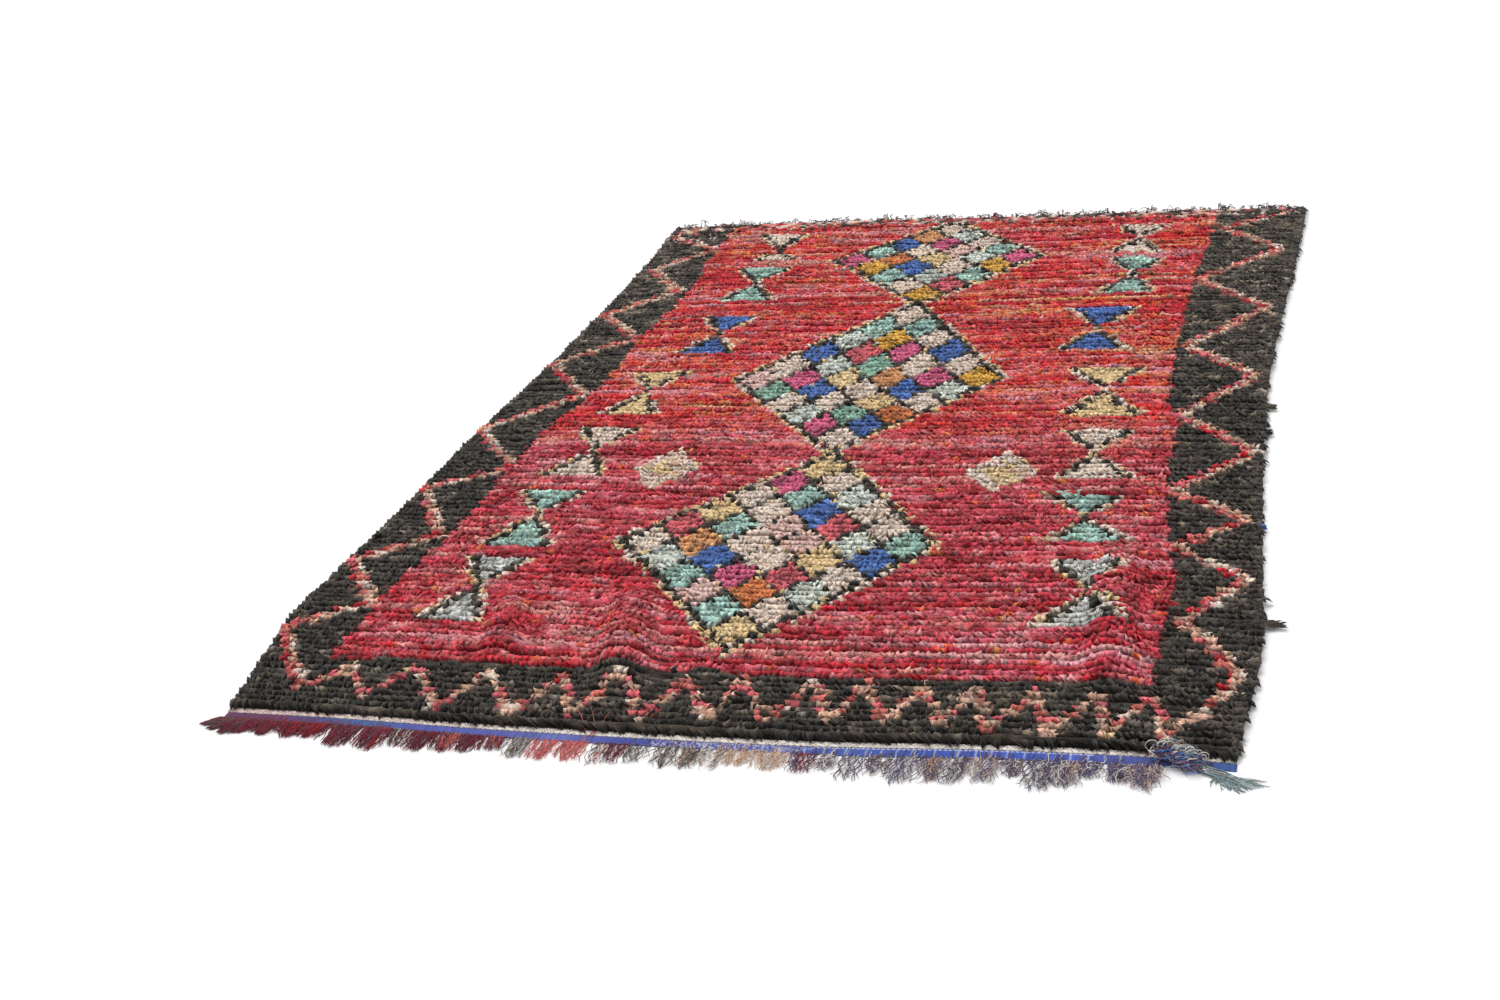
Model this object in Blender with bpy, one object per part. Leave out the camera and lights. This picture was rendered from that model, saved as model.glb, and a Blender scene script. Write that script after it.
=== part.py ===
"""Hand-knotted wool rug lying on a floor, with woven ends, two fringes and a corner tassel.

Lengths are in metres. Rug positions are given as x from the left edge to the right and v from the
front edge to the back. The frame has +X to the right, +Y to the back and +Z up, with its origin
under the middle of the rug.
"""
import bisect
import math
import random
from collections import namedtuple

import bmesh
import bpy
import numpy as np

# Driving sizes
RUG_LENGTH = 2.40
ROW_COUNT = 146
PILE_HEIGHT = 0.0185
VALLEY_SHARE = 0.66
CREST_PLACE = 0.35
END_WEAVE_WIDTH = 0.010
END_WEAVE_THICKNESS = 0.0035
BAND_GAP = 0.0008
FOOT_INSET = 0.004
FRONT_BAND_WIDTH = 0.018
BACK_BAND_WIDTH = 0.008
BAND_THICKNESS = 0.003
FRAME_MIDDLE_X = 0.794
FRAME_MIDDLE_V = 1.1745
RANDOM_SEED = 41

# Outline of the pile, each as a short table
EdgePoint = namedtuple("EdgePoint", "along place")
LEFT_EDGE = [
    EdgePoint(0.00, -0.010), EdgePoint(0.10, -0.022), EdgePoint(0.30, -0.053), EdgePoint(0.50, -0.045),
    EdgePoint(0.80, -0.034), EdgePoint(1.10, -0.028), EdgePoint(1.50, -0.006), EdgePoint(2.10, 0.000),
    EdgePoint(2.40, -0.014),
]
RIGHT_EDGE = [
    EdgePoint(0.00, 1.600), EdgePoint(0.30, 1.618), EdgePoint(0.60, 1.600), EdgePoint(0.90, 1.585),
    EdgePoint(1.30, 1.571), EdgePoint(1.60, 1.575), EdgePoint(2.00, 1.590), EdgePoint(2.40, 1.600),
]
FRONT_EDGE = [
    EdgePoint(0.00, 0.000), EdgePoint(0.20, -0.002), EdgePoint(0.46, -0.012), EdgePoint(0.75, -0.016),
    EdgePoint(1.00, -0.014), EdgePoint(1.26, 0.000), EdgePoint(1.45, 0.002), EdgePoint(1.60, -0.004),
]
BACK_EDGE = [
    EdgePoint(0.00, 2.390), EdgePoint(0.40, 2.402), EdgePoint(0.90, 2.398), EdgePoint(1.30, 2.404),
    EdgePoint(1.60, 2.398),
]

# Rucks of the cloth: ridges that run from front to back
Ruck = namedtuple("Ruck", "front_x back_x front_v back_v height half_width")
RUCKS = [
    Ruck(0.655, 0.545, 0.03, 0.48, 0.028, 0.062),
    Ruck(1.406, 1.360, 0.08, 0.68, 0.025, 0.056),
    Ruck(0.400, 0.350, 0.12, 0.42, 0.017, 0.046),
]
RUCK_ZONE_BACK = 0.70

# Loose tufts that stand out at the right edge
LooseTuft = namedtuple("LooseTuft", "v reach")
LOOSE_TUFTS = [LooseTuft(0.37, 0.034), LooseTuft(1.09, 0.014), LooseTuft(1.21, 0.020)]

# Columns of the slab, as shares of its width
RUCK_COLUMNS = [
    0.004, 0.10, 0.19, 0.225, 0.252, 0.285, 0.325, 0.355, 0.378, 0.402, 0.425, 0.46,
    0.60, 0.76, 0.825, 0.852, 0.873, 0.894, 0.925, 0.996,
]
PLAIN_COLUMNS = [0.004, 0.10, 0.225, 0.355, 0.46, 0.60, 0.76, 0.873, 0.996]
UNDER_COLUMNS = [0.10, 0.19, 0.225, 0.252, 0.285, 0.325, 0.355, 0.378, 0.402, 0.425, 0.46, 0.60, 0.76,
                 0.825, 0.852, 0.873, 0.894, 0.925]
UNDER_ROWS = [0, 7, 10, 13, 16, 19, 22, 25, 28, 32, 60, 90, 120, ROW_COUNT]

# Front fringe, gathered in clumps
Clump = namedtuple("Clump", "tip_x tip_v strands")
FRONT_CLUMPS = [
    Clump(0.000, -0.062, 3), Clump(0.050, -0.066, 3), Clump(0.100, -0.064, 3), Clump(0.135, -0.066, 2),
    Clump(0.170, -0.082, 2), Clump(0.225, -0.086, 3), Clump(0.272, -0.074, 3), Clump(0.305, -0.090, 2),
    Clump(0.345, -0.086, 2), Clump(0.385, -0.084, 3), Clump(0.455, -0.092, 3), Clump(0.500, -0.096, 3),
    Clump(0.545, -0.092, 2), Clump(0.580, -0.098, 2), Clump(0.610, -0.094, 2), Clump(0.662, -0.080, 3),
    Clump(0.695, -0.090, 2), Clump(0.725, -0.094, 2), Clump(0.775, -0.096, 3), Clump(0.812, -0.088, 2),
    Clump(0.850, -0.094, 3), Clump(0.886, -0.080, 2), Clump(0.912, -0.094, 2), Clump(0.940, -0.086, 2),
    Clump(0.977, -0.096, 2), Clump(1.012, -0.086, 2), Clump(1.045, -0.078, 2), Clump(1.085, -0.084, 3),
    Clump(1.145, -0.086, 3), Clump(1.205, -0.076, 3), Clump(1.286, -0.088, 4), Clump(1.345, -0.084, 3),
    Clump(1.400, -0.068, 3), Clump(1.447, -0.078, 3),
]
CLUMP_GATHER = 0.40
BARE_BAND_FROM = 1.475
BACK_STRAND_COUNT = 62
BACK_STRAND_LENGTHS = (0.014, 0.030)

# Corner tassel: its thick part crosses the pile edge and the woven band
TasselStep = namedtuple("TasselStep", "x from_front bottom half_width thickness")
TASSEL_HEAD = [
    TasselStep(1.462, 0.030, 0.0237, 0.009, 0.005),
    TasselStep(1.482, 0.020, 0.0237, 0.012, 0.008),
    TasselStep(1.500, 0.004, 0.0227, 0.013, 0.009),
    TasselStep(1.524, -0.016, 0.0113, 0.012, 0.009),
    TasselStep(1.548, -0.040, 0.0046, 0.012, 0.008),
]
TASSEL_TIPS = [(1.608, -0.078), (1.622, -0.071), (1.634, -0.063), (1.640, -0.054), (1.628, -0.045)]


def along_table(table, place):
    """Smooth reading of an edge table: it passes through every row and bends between them."""
    places = [row.along for row in table]
    values = [row.place for row in table]
    if not places[0] < place < places[-1]:
        return values[0] if place <= places[0] else values[-1]
    k = bisect.bisect_right(places, place) - 1
    gap = places[k + 1] - places[k]
    share = (place - places[k]) / gap
    slope_from = edge_slope(places, values, k) * gap
    slope_to = edge_slope(places, values, k + 1) * gap
    square = share * share
    cube = square * share
    return ((2.0 * cube - 3.0 * square + 1.0) * values[k] + (cube - 2.0 * square + share) * slope_from
            + (3.0 * square - 2.0 * cube) * values[k + 1] + (cube - square) * slope_to)


def edge_slope(places, values, k):
    """Slope of an edge table at one of its rows, from the rows on both sides."""
    before = max(0, k - 1)
    after = min(len(places) - 1, k + 1)
    return (values[after] - values[before]) / (places[after] - places[before])


def smooth(low, high, value):
    """Rises from 0 to 1 between low and high with soft ends."""
    share = min(1.0, max(0.0, (value - low) / (high - low)))
    return share * share * (3.0 - 2.0 * share)


def ruck_lift(x, v):
    """Height of the cloth above the floor."""
    total = 0.0
    for ruck in RUCKS:
        if not ruck.front_v < v < ruck.back_v:
            continue
        share = (v - ruck.front_v) / (ruck.back_v - ruck.front_v)
        middle = ruck.front_x + share * (ruck.back_x - ruck.front_x)
        offset = abs(x - middle) / ruck.half_width
        if offset < 1.0:
            across = 0.5 + 0.5 * math.cos(math.pi * offset)
            total += ruck.height * across * smooth(0.0, 0.32, share) * (1.0 - smooth(0.55, 1.0, share))
    return total


def lumps(x, v):
    """Slow unevenness of the pile, about 1.5 mm either way."""
    wave = math.sin(23.0 * x + 9.0 * v) + math.sin(41.0 * v - 13.0 * x + 1.7)
    wave += math.sin(57.0 * x + 2.1) * math.sin(37.0 * v + 0.6)
    return 0.0005 * wave


def row_v(x, row):
    """Place of a knot row, which follows the front edge at one end and the back edge at the other."""
    front = along_table(FRONT_EDGE, x)
    back = along_table(BACK_EDGE, x)
    return front + (back - front) * row / ROW_COUNT


def to_frame(x, v, z):
    """Rug position as a point of the frame."""
    return (x - FRAME_MIDDLE_X, v - FRAME_MIDDLE_V, z)


class Skin:
    """Points and faces of one closed solid."""

    def __init__(self):
        self.points = []
        self.faces = []

    def point(self, x, v, z):
        self.points.append(to_frame(x, v, z))
        return len(self.points) - 1

    def quad(self, a, b, c, d):
        self.faces.append((a, b, c, d))

    def stitch(self, first, first_at, second, second_at):
        """Joins two lines of points, each with its place along the line."""
        i = 0
        j = 0
        while i < len(first) - 1 or j < len(second) - 1:
            both = i < len(first) - 1 and j < len(second) - 1
            if both and abs(first_at[i + 1] - second_at[j + 1]) < 1e-6:
                self.quad(first[i], first[i + 1], second[j + 1], second[j])
                i += 1
                j += 1
            elif j == len(second) - 1 or (both and first_at[i + 1] < second_at[j + 1]):
                self.faces.append((first[i], first[i + 1], second[j]))
                i += 1
            else:
                self.faces.append((first[i], second[j + 1], second[j]))
                j += 1

    def strand(self, root, rings):
        """Runs a four-sided strand out of a root quad and closes its tip."""
        last = root
        for ring in rings:
            new = [self.point(*corner) for corner in ring]
            for side in range(4):
                after = (side + 1) % 4
                self.quad(last[side], last[after], new[after], new[side])
            last = new
        self.faces.append(tuple(last))

    def to_object(self, name, color):
        """Makes the Blender object with its own material."""
        mesh = bpy.data.meshes.new(name)
        mesh.from_pydata(self.points, [], self.faces)
        shape = bmesh.new()
        shape.from_mesh(mesh)
        bmesh.ops.triangulate(shape, faces=shape.faces[:])
        bmesh.ops.recalc_face_normals(shape, faces=shape.faces[:])
        shape.to_mesh(mesh)
        shape.free()
        material = bpy.data.materials.new(name + "_material")
        material.use_nodes = True
        shader = material.node_tree.nodes["Principled BSDF"]
        shader.inputs["Base Color"].default_value = (*color, 1.0)
        shader.inputs["Roughness"].default_value = 0.95
        mesh.materials.append(material)
        made = bpy.data.objects.new(name, mesh)
        bpy.context.scene.collection.objects.link(made)
        return made


Line = namedtuple("Line", "row shift height kind")


def slab_lines():
    """Lines of points from the front end to the back end: two to each knot row."""
    lines = [
        Line(0, -END_WEAVE_WIDTH, END_WEAVE_THICKNESS, "weave"),
        Line(0, -0.0010, END_WEAVE_THICKNESS, "weave"),
        Line(0, 0.0010, PILE_HEIGHT * 0.62, "valley"),
    ]
    for row in range(ROW_COUNT):
        lines.append(Line(row + CREST_PLACE, 0.0, PILE_HEIGHT, "crest"))
        if row < ROW_COUNT - 1:
            lines.append(Line(row + 1, 0.0, PILE_HEIGHT * VALLEY_SHARE, "valley"))
    lines.append(Line(ROW_COUNT, -0.0010, PILE_HEIGHT * 0.62, "valley"))
    lines.append(Line(ROW_COUNT, 0.0010, END_WEAVE_THICKNESS, "weave"))
    lines.append(Line(ROW_COUNT, END_WEAVE_WIDTH * 0.8, END_WEAVE_THICKNESS, "weave"))
    return lines


def place_on_line(line, share):
    """Rug position of a share of the width on one line."""
    middle_v = row_v(0.8, line.row)
    left = along_table(LEFT_EDGE, middle_v)
    right = along_table(RIGHT_EDGE, middle_v)
    x = left + share * (right - left)
    return x, row_v(x, line.row) + line.shift


def end_line(line, shares):
    """Reading of the outer line of an end weave, so that a band can follow it closely."""
    places = [place_on_line(line, share) for share in [0.0] + shares + [1.0]]

    def read(x):
        return float(np.interp(x, [place[0] for place in places], [place[1] for place in places]))

    return read


def rim_reach(line, side, dice):
    """How far a row end stands out past the edge of the cloth."""
    if line.kind == "weave":
        return 0.0
    if line.kind == "valley":
        return -0.0015
    reach = dice.uniform(0.003, 0.007)
    if dice.random() < 0.22:
        reach += dice.uniform(0.003, 0.007)
    if side == 1.0:
        place = row_v(1.6, line.row)
        for tuft in LOOSE_TUFTS:
            if abs(place - tuft.v) < 0.5 * RUG_LENGTH / ROW_COUNT:
                reach = tuft.reach
    return reach


def top_height(line, x, v, share, dice):
    """Height of the upper face, lower at the two edges where the pile rolls over."""
    if line.kind == "weave":
        return line.height
    jitter = 0.0011 if line.kind == "crest" else 0.0007
    height = line.height + lumps(x, v) + dice.uniform(-jitter, jitter)
    if share < 0.01 or share > 0.99:
        height *= 0.80
    return height + ruck_lift(x, v)


def build_rug():
    """The knotted cloth: ribbed pile above, flat weave at both ends, hollow under the rucks."""
    dice = random.Random(RANDOM_SEED)
    skin = Skin()
    lines = slab_lines()
    tops = []
    rims = {0.0: [], 1.0: []}
    feet = {0.0: [], 1.0: []}
    for line in lines:
        fine = line.kind == "weave" or row_v(0.8, line.row) < RUCK_ZONE_BACK
        shares = RUCK_COLUMNS if fine else PLAIN_COLUMNS
        top = []
        for share in shares:
            x, v = place_on_line(line, share)
            top.append(skin.point(x, v, top_height(line, x, v, share, dice)))
        tops.append((top, shares))
        thickness = END_WEAVE_THICKNESS if line.kind == "weave" else PILE_HEIGHT
        for side, outward in ((0.0, -1.0), (1.0, 1.0)):
            x, v = place_on_line(line, side)
            reach = rim_reach(line, side, dice)
            rims[side].append(skin.point(x + outward * reach, v, thickness * 0.42))
            foot_x = x - outward * FOOT_INSET
            feet[side].append(skin.point(foot_x, row_v(foot_x, line.row) + line.shift, 0.0))
    for (top, shares), (after, after_shares) in zip(tops, tops[1:]):
        skin.stitch(top, shares, after, after_shares)
    for side, column in ((0.0, 0), (1.0, -1)):
        edge = [top[column] for top, shares in tops]
        for k in range(len(lines) - 1):
            skin.quad(edge[k], edge[k + 1], rims[side][k + 1], rims[side][k])
            skin.quad(rims[side][k], rims[side][k + 1], feet[side][k + 1], feet[side][k])
    add_underside(skin, lines, tops, rims, feet)
    return skin.to_object("rug", (0.42, 0.06, 0.07))


def add_underside(skin, lines, tops, rims, feet):
    """Closes the slab below with a coarse net that rises under the rucks."""
    places = [k / (len(lines) - 1) for k in range(len(lines))]
    rows = [min(range(len(lines)), key=lambda k, wanted=wanted: abs(lines[k].row - wanted))
            for wanted in UNDER_ROWS]
    rows[0] = 0
    rows[-1] = len(lines) - 1
    row_places = [places[k] for k in rows]
    net = []
    for share in UNDER_COLUMNS:
        column = []
        for k in rows:
            x, v = place_on_line(lines[k], share)
            column.append(skin.point(x, v, ruck_lift(x, v)))
        net.append(column)
    skin.stitch(feet[0.0], places, net[0], row_places)
    for left, right in zip(net, net[1:]):
        for k in range(len(rows) - 1):
            skin.quad(left[k], left[k + 1], right[k + 1], right[k])
    skin.stitch(net[-1], row_places, feet[1.0], places)
    for end in (0, -1):
        top, shares = tops[end]
        low = [feet[0.0][end]] + [column[end] for column in net] + [feet[1.0][end]]
        low_shares = [0.0] + UNDER_COLUMNS + [1.0]
        whole = [rims[0.0][end]] + top + [rims[1.0][end]]
        whole_shares = [0.0] + list(shares) + [1.0]
        skin.stitch(whole, whole_shares, low, low_shares)


def lock_ring(x, v, heading, width, height, bottom):
    """Four corners of a strand at one place, flat below and narrower above."""
    across_x = -math.sin(heading)
    across_v = math.cos(heading)
    corners = []
    for side, share, z in ((-1, 1.0, 0.0), (1, 1.0, 0.0), (1, 0.6, height), (-1, 0.6, height)):
        reach = 0.5 * width * side * share
        corners.append((x + across_x * reach, v + across_v * reach, bottom + z))
    return corners


def strand_rings(root, tip, root_width, bend):
    """Three rings from a root to its tip along a gentle bow, all resting on the floor."""
    heading = math.atan2(tip[1] - root[1], tip[0] - root[0])
    rings = []
    for share, width, height in ((0.34, 0.52, 0.0030), (0.70, 0.36, 0.0024), (1.0, 0.15, 0.0015)):
        bow = bend * math.sin(math.pi * share)
        x = root[0] + share * (tip[0] - root[0]) - math.sin(heading) * bow
        v = root[1] + share * (tip[1] - root[1]) + math.cos(heading) * bow
        rings.append(lock_ring(x, v, heading, root_width * width, height, 0.0))
    return rings


def build_band(name, color, cuts, inner_v, outer_v, tips):
    """A narrow woven band whose outer side carries one strand to each cell that has a tip."""
    skin = Skin()
    posts = []
    for x in cuts:
        posts.append([
            skin.point(x, inner_v(x), 0.0), skin.point(x, inner_v(x), BAND_THICKNESS),
            skin.point(x, outer_v(x), BAND_THICKNESS), skin.point(x, outer_v(x), 0.0),
        ])
    skin.faces.append(tuple(posts[0]))
    skin.faces.append(tuple(posts[-1]))
    for k, tip in enumerate(tips):
        left = posts[k]
        right = posts[k + 1]
        skin.quad(left[0], right[0], right[1], left[1])
        skin.quad(left[1], right[1], right[2], left[2])
        skin.quad(left[3], right[3], right[0], left[0])
        if tip is None:
            skin.quad(left[2], right[2], right[3], left[3])
            continue
        middle = 0.5 * (cuts[k] + cuts[k + 1])
        width = cuts[k + 1] - cuts[k]
        root = (middle, outer_v(middle))
        rings = strand_rings(root, tip[:2], width, tip[2])
        if tip[1] > root[1]:
            rings = [[ring[1], ring[0], ring[3], ring[2]] for ring in rings]
        skin.strand([left[3], right[3], right[2], left[2]], rings)
    return skin.to_object(name, color)


def front_fringe_plan():
    """Cell cuts along the front band and the strand tip of each cell."""
    dice = random.Random(RANDOM_SEED + 1)
    tips_x = [clump.tip_x for clump in FRONT_CLUMPS]
    bounds = [0.5 * (a + b) for a, b in zip(tips_x, tips_x[1:])]
    bounds = [-0.008] + bounds + [BARE_BAND_FROM]
    cuts = [bounds[0]]
    tips = []
    for k, clump in enumerate(FRONT_CLUMPS):
        low = bounds[k]
        high = bounds[k + 1]
        bend = dice.uniform(-0.003, 0.003)
        for number in range(clump.strands):
            middle = low + (number + 0.5) * (high - low) / clump.strands
            tip_x = clump.tip_x + (middle - clump.tip_x) * CLUMP_GATHER
            tips.append((tip_x, clump.tip_v + dice.uniform(-0.003, 0.004), bend))
            cuts.append(low + (number + 1) * (high - low) / clump.strands)
    for x in (1.52, 1.56, 1.594, 1.600):
        cuts.append(x)
        tips.append(None)
    return cuts, tips


def build_front_fringe():
    """Blue woven band in front of the end weave, with the gathered fringe."""
    cuts, tips = front_fringe_plan()

    weave_v = end_line(slab_lines()[0], RUCK_COLUMNS)

    def inner_v(x):
        return weave_v(x) - BAND_GAP

    def outer_v(x):
        return inner_v(x) - FRONT_BAND_WIDTH

    return build_band("front_fringe", (0.09, 0.10, 0.35), cuts, inner_v, outer_v, tips)


def build_back_fringe():
    """Narrow band behind the rug with short uneven curls."""
    dice = random.Random(RANDOM_SEED + 2)
    left = -0.005
    right = 1.592
    step = (right - left) / BACK_STRAND_COUNT
    cuts = [left + k * step for k in range(BACK_STRAND_COUNT + 1)]

    weave_v = end_line(slab_lines()[-1], RUCK_COLUMNS)

    def inner_v(x):
        return weave_v(x) + BAND_GAP

    def outer_v(x):
        return inner_v(x) + BACK_BAND_WIDTH

    tips = []
    for k in range(BACK_STRAND_COUNT):
        middle = left + (k + 0.5) * step
        length = dice.uniform(*BACK_STRAND_LENGTHS)
        tips.append((middle + dice.uniform(-0.006, 0.006), outer_v(middle) + length, dice.uniform(-0.001, 0.001)))
    return build_band("back_fringe", (0.16, 0.10, 0.12), cuts, inner_v, outer_v, tips)


def tassel_ring(skin, step, heading, cells):
    """Flat ring of the thick part: a lower and an upper line of points."""
    v = along_table(FRONT_EDGE, step.x) + step.from_front
    low = []
    high = []
    for k in range(cells + 1):
        reach = step.half_width * (2.0 * k / cells - 1.0)
        x = step.x - math.sin(heading) * reach
        place = v + math.cos(heading) * reach
        crown = 0.5 + 0.5 * math.sin(math.pi * (k + 0.35) / (cells + 0.7))
        low.append(skin.point(x, place, step.bottom))
        high.append(skin.point(x, place, step.bottom + step.thickness * crown))
    return low, high


def build_tassel():
    """Corner tassel: a bent thick part that ends in five strands on the floor."""
    skin = Skin()
    cells = len(TASSEL_TIPS)
    heading = math.radians(-38.0)
    rings = [tassel_ring(skin, step, heading, cells) for step in TASSEL_HEAD]
    for (low, high), (low_after, high_after) in zip(rings, rings[1:]):
        for k in range(cells):
            skin.quad(high[k], high[k + 1], high_after[k + 1], high_after[k])
            skin.quad(low[k], low[k + 1], low_after[k + 1], low_after[k])
        skin.quad(low[0], high[0], high_after[0], low_after[0])
        skin.quad(low[-1], high[-1], high_after[-1], low_after[-1])
    low, high = rings[0]
    for k in range(cells):
        skin.quad(low[k], low[k + 1], high[k + 1], high[k])
    low, high = rings[-1]
    end = TASSEL_HEAD[-1]
    end_v = along_table(FRONT_EDGE, end.x) + end.from_front
    for k, (tip_x, tip_v) in enumerate(TASSEL_TIPS):
        reach = end.half_width * (2.0 * (k + 0.5) / cells - 1.0)
        root_x = end.x - math.sin(heading) * reach
        root_v = end_v + math.cos(heading) * reach
        path = []
        for share, width, height in ((0.30, 0.0036, 0.0036), (0.65, 0.0032, 0.0028), (1.0, 0.0016, 0.0014)):
            x = root_x + share * (tip_x - root_x)
            v = root_v + share * (tip_v - root_v)
            path.append(lock_ring(x, v, heading, width, height, 0.0))
        skin.strand([low[k], low[k + 1], high[k + 1], high[k]], path)
    return skin.to_object("corner_tassel", (0.17, 0.24, 0.26))


def clear_scene():
    """Removes whatever the starting file holds."""
    for item in list(bpy.data.objects):
        bpy.data.objects.remove(item, do_unlink=True)


clear_scene()
build_rug()
build_front_fringe()
build_back_fringe()
build_tassel()
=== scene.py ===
import math
from collections import namedtuple

import bpy
import numpy as np
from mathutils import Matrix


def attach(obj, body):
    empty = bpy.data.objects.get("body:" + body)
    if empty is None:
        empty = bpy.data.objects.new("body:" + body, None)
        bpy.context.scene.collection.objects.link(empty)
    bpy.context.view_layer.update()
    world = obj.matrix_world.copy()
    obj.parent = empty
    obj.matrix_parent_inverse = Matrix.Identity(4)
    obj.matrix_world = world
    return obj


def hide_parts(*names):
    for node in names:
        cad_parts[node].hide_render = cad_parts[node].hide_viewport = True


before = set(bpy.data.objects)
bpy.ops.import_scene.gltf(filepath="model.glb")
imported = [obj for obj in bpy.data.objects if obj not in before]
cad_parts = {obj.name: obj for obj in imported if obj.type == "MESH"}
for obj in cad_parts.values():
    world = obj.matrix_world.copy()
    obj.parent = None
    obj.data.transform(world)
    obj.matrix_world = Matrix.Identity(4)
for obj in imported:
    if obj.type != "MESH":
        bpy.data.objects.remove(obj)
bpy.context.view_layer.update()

DICE = np.random.default_rng(7)

# Sizes in metres, leans in radians. Rug positions are x from the left edge and v from the front edge.
FRAME_MIDDLE_X = 0.794
FRAME_MIDDLE_V = 1.1745
RUG_WIDTH = 1.60
RUG_LENGTH = 2.40
ROW_COUNT = 146
KNOTS_IN_ROW = 127
STRANDS_IN_KNOT = 2
STRANDS_IN_ROW = KNOTS_IN_ROW * STRANDS_IN_KNOT
PILE_STRIPS = 8
PILE_HEIGHT = 0.016
ROOT_PLACE = 0.86
ROOT_ROWS = (0.60, ROW_COUNT - 0.1)
KNOT_FORWARD = 0.007
LEAN = 0.42
LEAN_LIMIT = 1.0
STRAIGHT_AT_SIDE = 0.02
ROW_END_COPIES = 5
BACKING_BOTTOM = 0.0006
BACKING_TOP = 0.0048
LOWEST_POINT = 0.0003
SLOPE_STEP = 0.003
STRAND_SIDES = 3

# Ends of the rug: flat weaves, bands and fringes
END_WEAVE_WIDTH = 0.010
BACK_WEAVE_WIDTH = 0.008
BAND_GAP = 0.0008
FRONT_BAND_WIDTH = 0.018
FRONT_BAND_WIDENING = 0.0034
BACK_BAND_WIDTH = 0.008
BACK_BAND_ENDS = (-0.004, 1.592)
BACK_CURLS = 620
FRINGE_FROM = -0.012
FRINGE_TO = 1.500
FRINGE_FULLNESS = 1.16

# Camera, fitted to the four corners of the pile in the photograph, and reach of the floor
CAMERA_X = 1.798
CAMERA_V = -2.437
CAMERA_HEIGHT = 1.603
CAMERA_TURN = (64.7515, 7.0859, 16.1676)
CAMERA_LENS = 48.41
SENSOR_WIDTH = 36.0
FLOOR_REACH = 200.0

# Height of the pile as seen, and of the plane in which the pattern was measured: in front and its rise
PILE_SEEN = 0.017
PLANE_FRONT = 0.004
PLANE_RISE = 0.014

# Outline of the pile in millimetres: x by v for the sides, v by x for the ends
LEFT_EDGE = [
    (0, -10), (100, -22), (300, -53), (500, -45), (800, -34), (1100, -28), (1500, -6), (2100, 0),
    (2400, -14),
]
RIGHT_EDGE = [
    (0, 1600), (300, 1618), (600, 1600), (900, 1585), (1300, 1571), (1600, 1575), (2000, 1590),
    (2400, 1600),
]
FRONT_EDGE = [
    (0, 0), (200, -2), (460, -12), (750, -16), (1000, -14), (1260, 0), (1450, 2), (1600, -4),
]
BACK_EDGE = [
    (0, 2390), (400, 2402), (900, 2398), (1300, 2404), (1600, 2398),
]

# Rucks of the cloth
Ruck = namedtuple("Ruck", "front_x back_x front_v back_v height half_width")
RUCKS = [
    Ruck(0.655, 0.545, 0.03, 0.48, 0.028, 0.062),
    Ruck(1.406, 1.360, 0.08, 0.68, 0.025, 0.056),
    Ruck(0.400, 0.350, 0.12, 0.42, 0.017, 0.046),
]

# Yarns by letter: red, green and blue as they look in the photograph
YARNS = {
    "n": (52, 46, 39),  # charcoal
    "N": (88, 79, 69),  # worn charcoal
    "c": (246, 224, 206),  # cream
    "y": (246, 214, 160),  # yellow cream
    "g": (236, 178, 70),  # gold
    "t": (164, 198, 186),  # teal
    "e": (140, 180, 158),  # green
    "p": (216, 222, 210),  # pale grey green
    "w": (196, 196, 190),  # pale grey
    "b": (76, 112, 180),  # blue
    "m": (222, 100, 140),  # magenta
    "r": (204, 68, 80),  # rose red
    "o": (216, 124, 70),  # orange
    "a": (226, 160, 108),  # apricot
    "k": (246, 204, 194),  # pink cream
    "D": (156, 20, 34),  # deep crimson
    "C": (196, 34, 48),  # crimson
    "P": (216, 100, 108),  # dusty pink
    "L": (234, 150, 148),  # light pink
    "S": (226, 54, 50),  # scarlet
    "O": (240, 104, 66),  # orange red
    "s": (204, 108, 98),  # salmon
    "V": (108, 60, 76),  # purple red
    "R": (214, 28, 34),  # bright red
    "F": (112, 28, 44),  # wine
    "G": (128, 110, 102),  # grey brown
    "T": (206, 166, 140),  # tan
    "U": (106, 92, 124),  # grey purple
    "h": (134, 156, 164),  # grey blue
    "W": (222, 214, 204),  # off-white
    "z": (214, 170, 148),  # pinkish cream
}
YARN_KEYS = "".join(YARNS)
FIELD = -1
DARKEST = 0.002
BRIGHTEST = 0.95
COOLEST = -0.14
WORN_FROM = 0.72

# Edges of the red field in millimetres: x by v, and the front border's back edge: v by x
FIELD_LEFT = [
    (0, 100), (200, 90), (400, 85), (600, 110), (750, 117), (950, 117), (1080, 121), (1200, 143),
    (1350, 160), (1500, 165), (1600, 156), (1720, 172), (1920, 182), (2100, 168), (2400, 155),
]
FIELD_RIGHT = [
    (0, 1460), (400, 1462), (510, 1467), (610, 1450), (720, 1436), (880, 1421), (960, 1411), (1050, 1418),
    (1140, 1411), (1240, 1386), (1400, 1378), (1600, 1374), (1800, 1377), (1950, 1373), (2150, 1389),
    (2400, 1394),
]
FRONT_BORDER = [
    (0, 172), (300, 172), (600, 170), (760, 180), (900, 164), (1200, 182), (1450, 184), (1600, 184),
]

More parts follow.
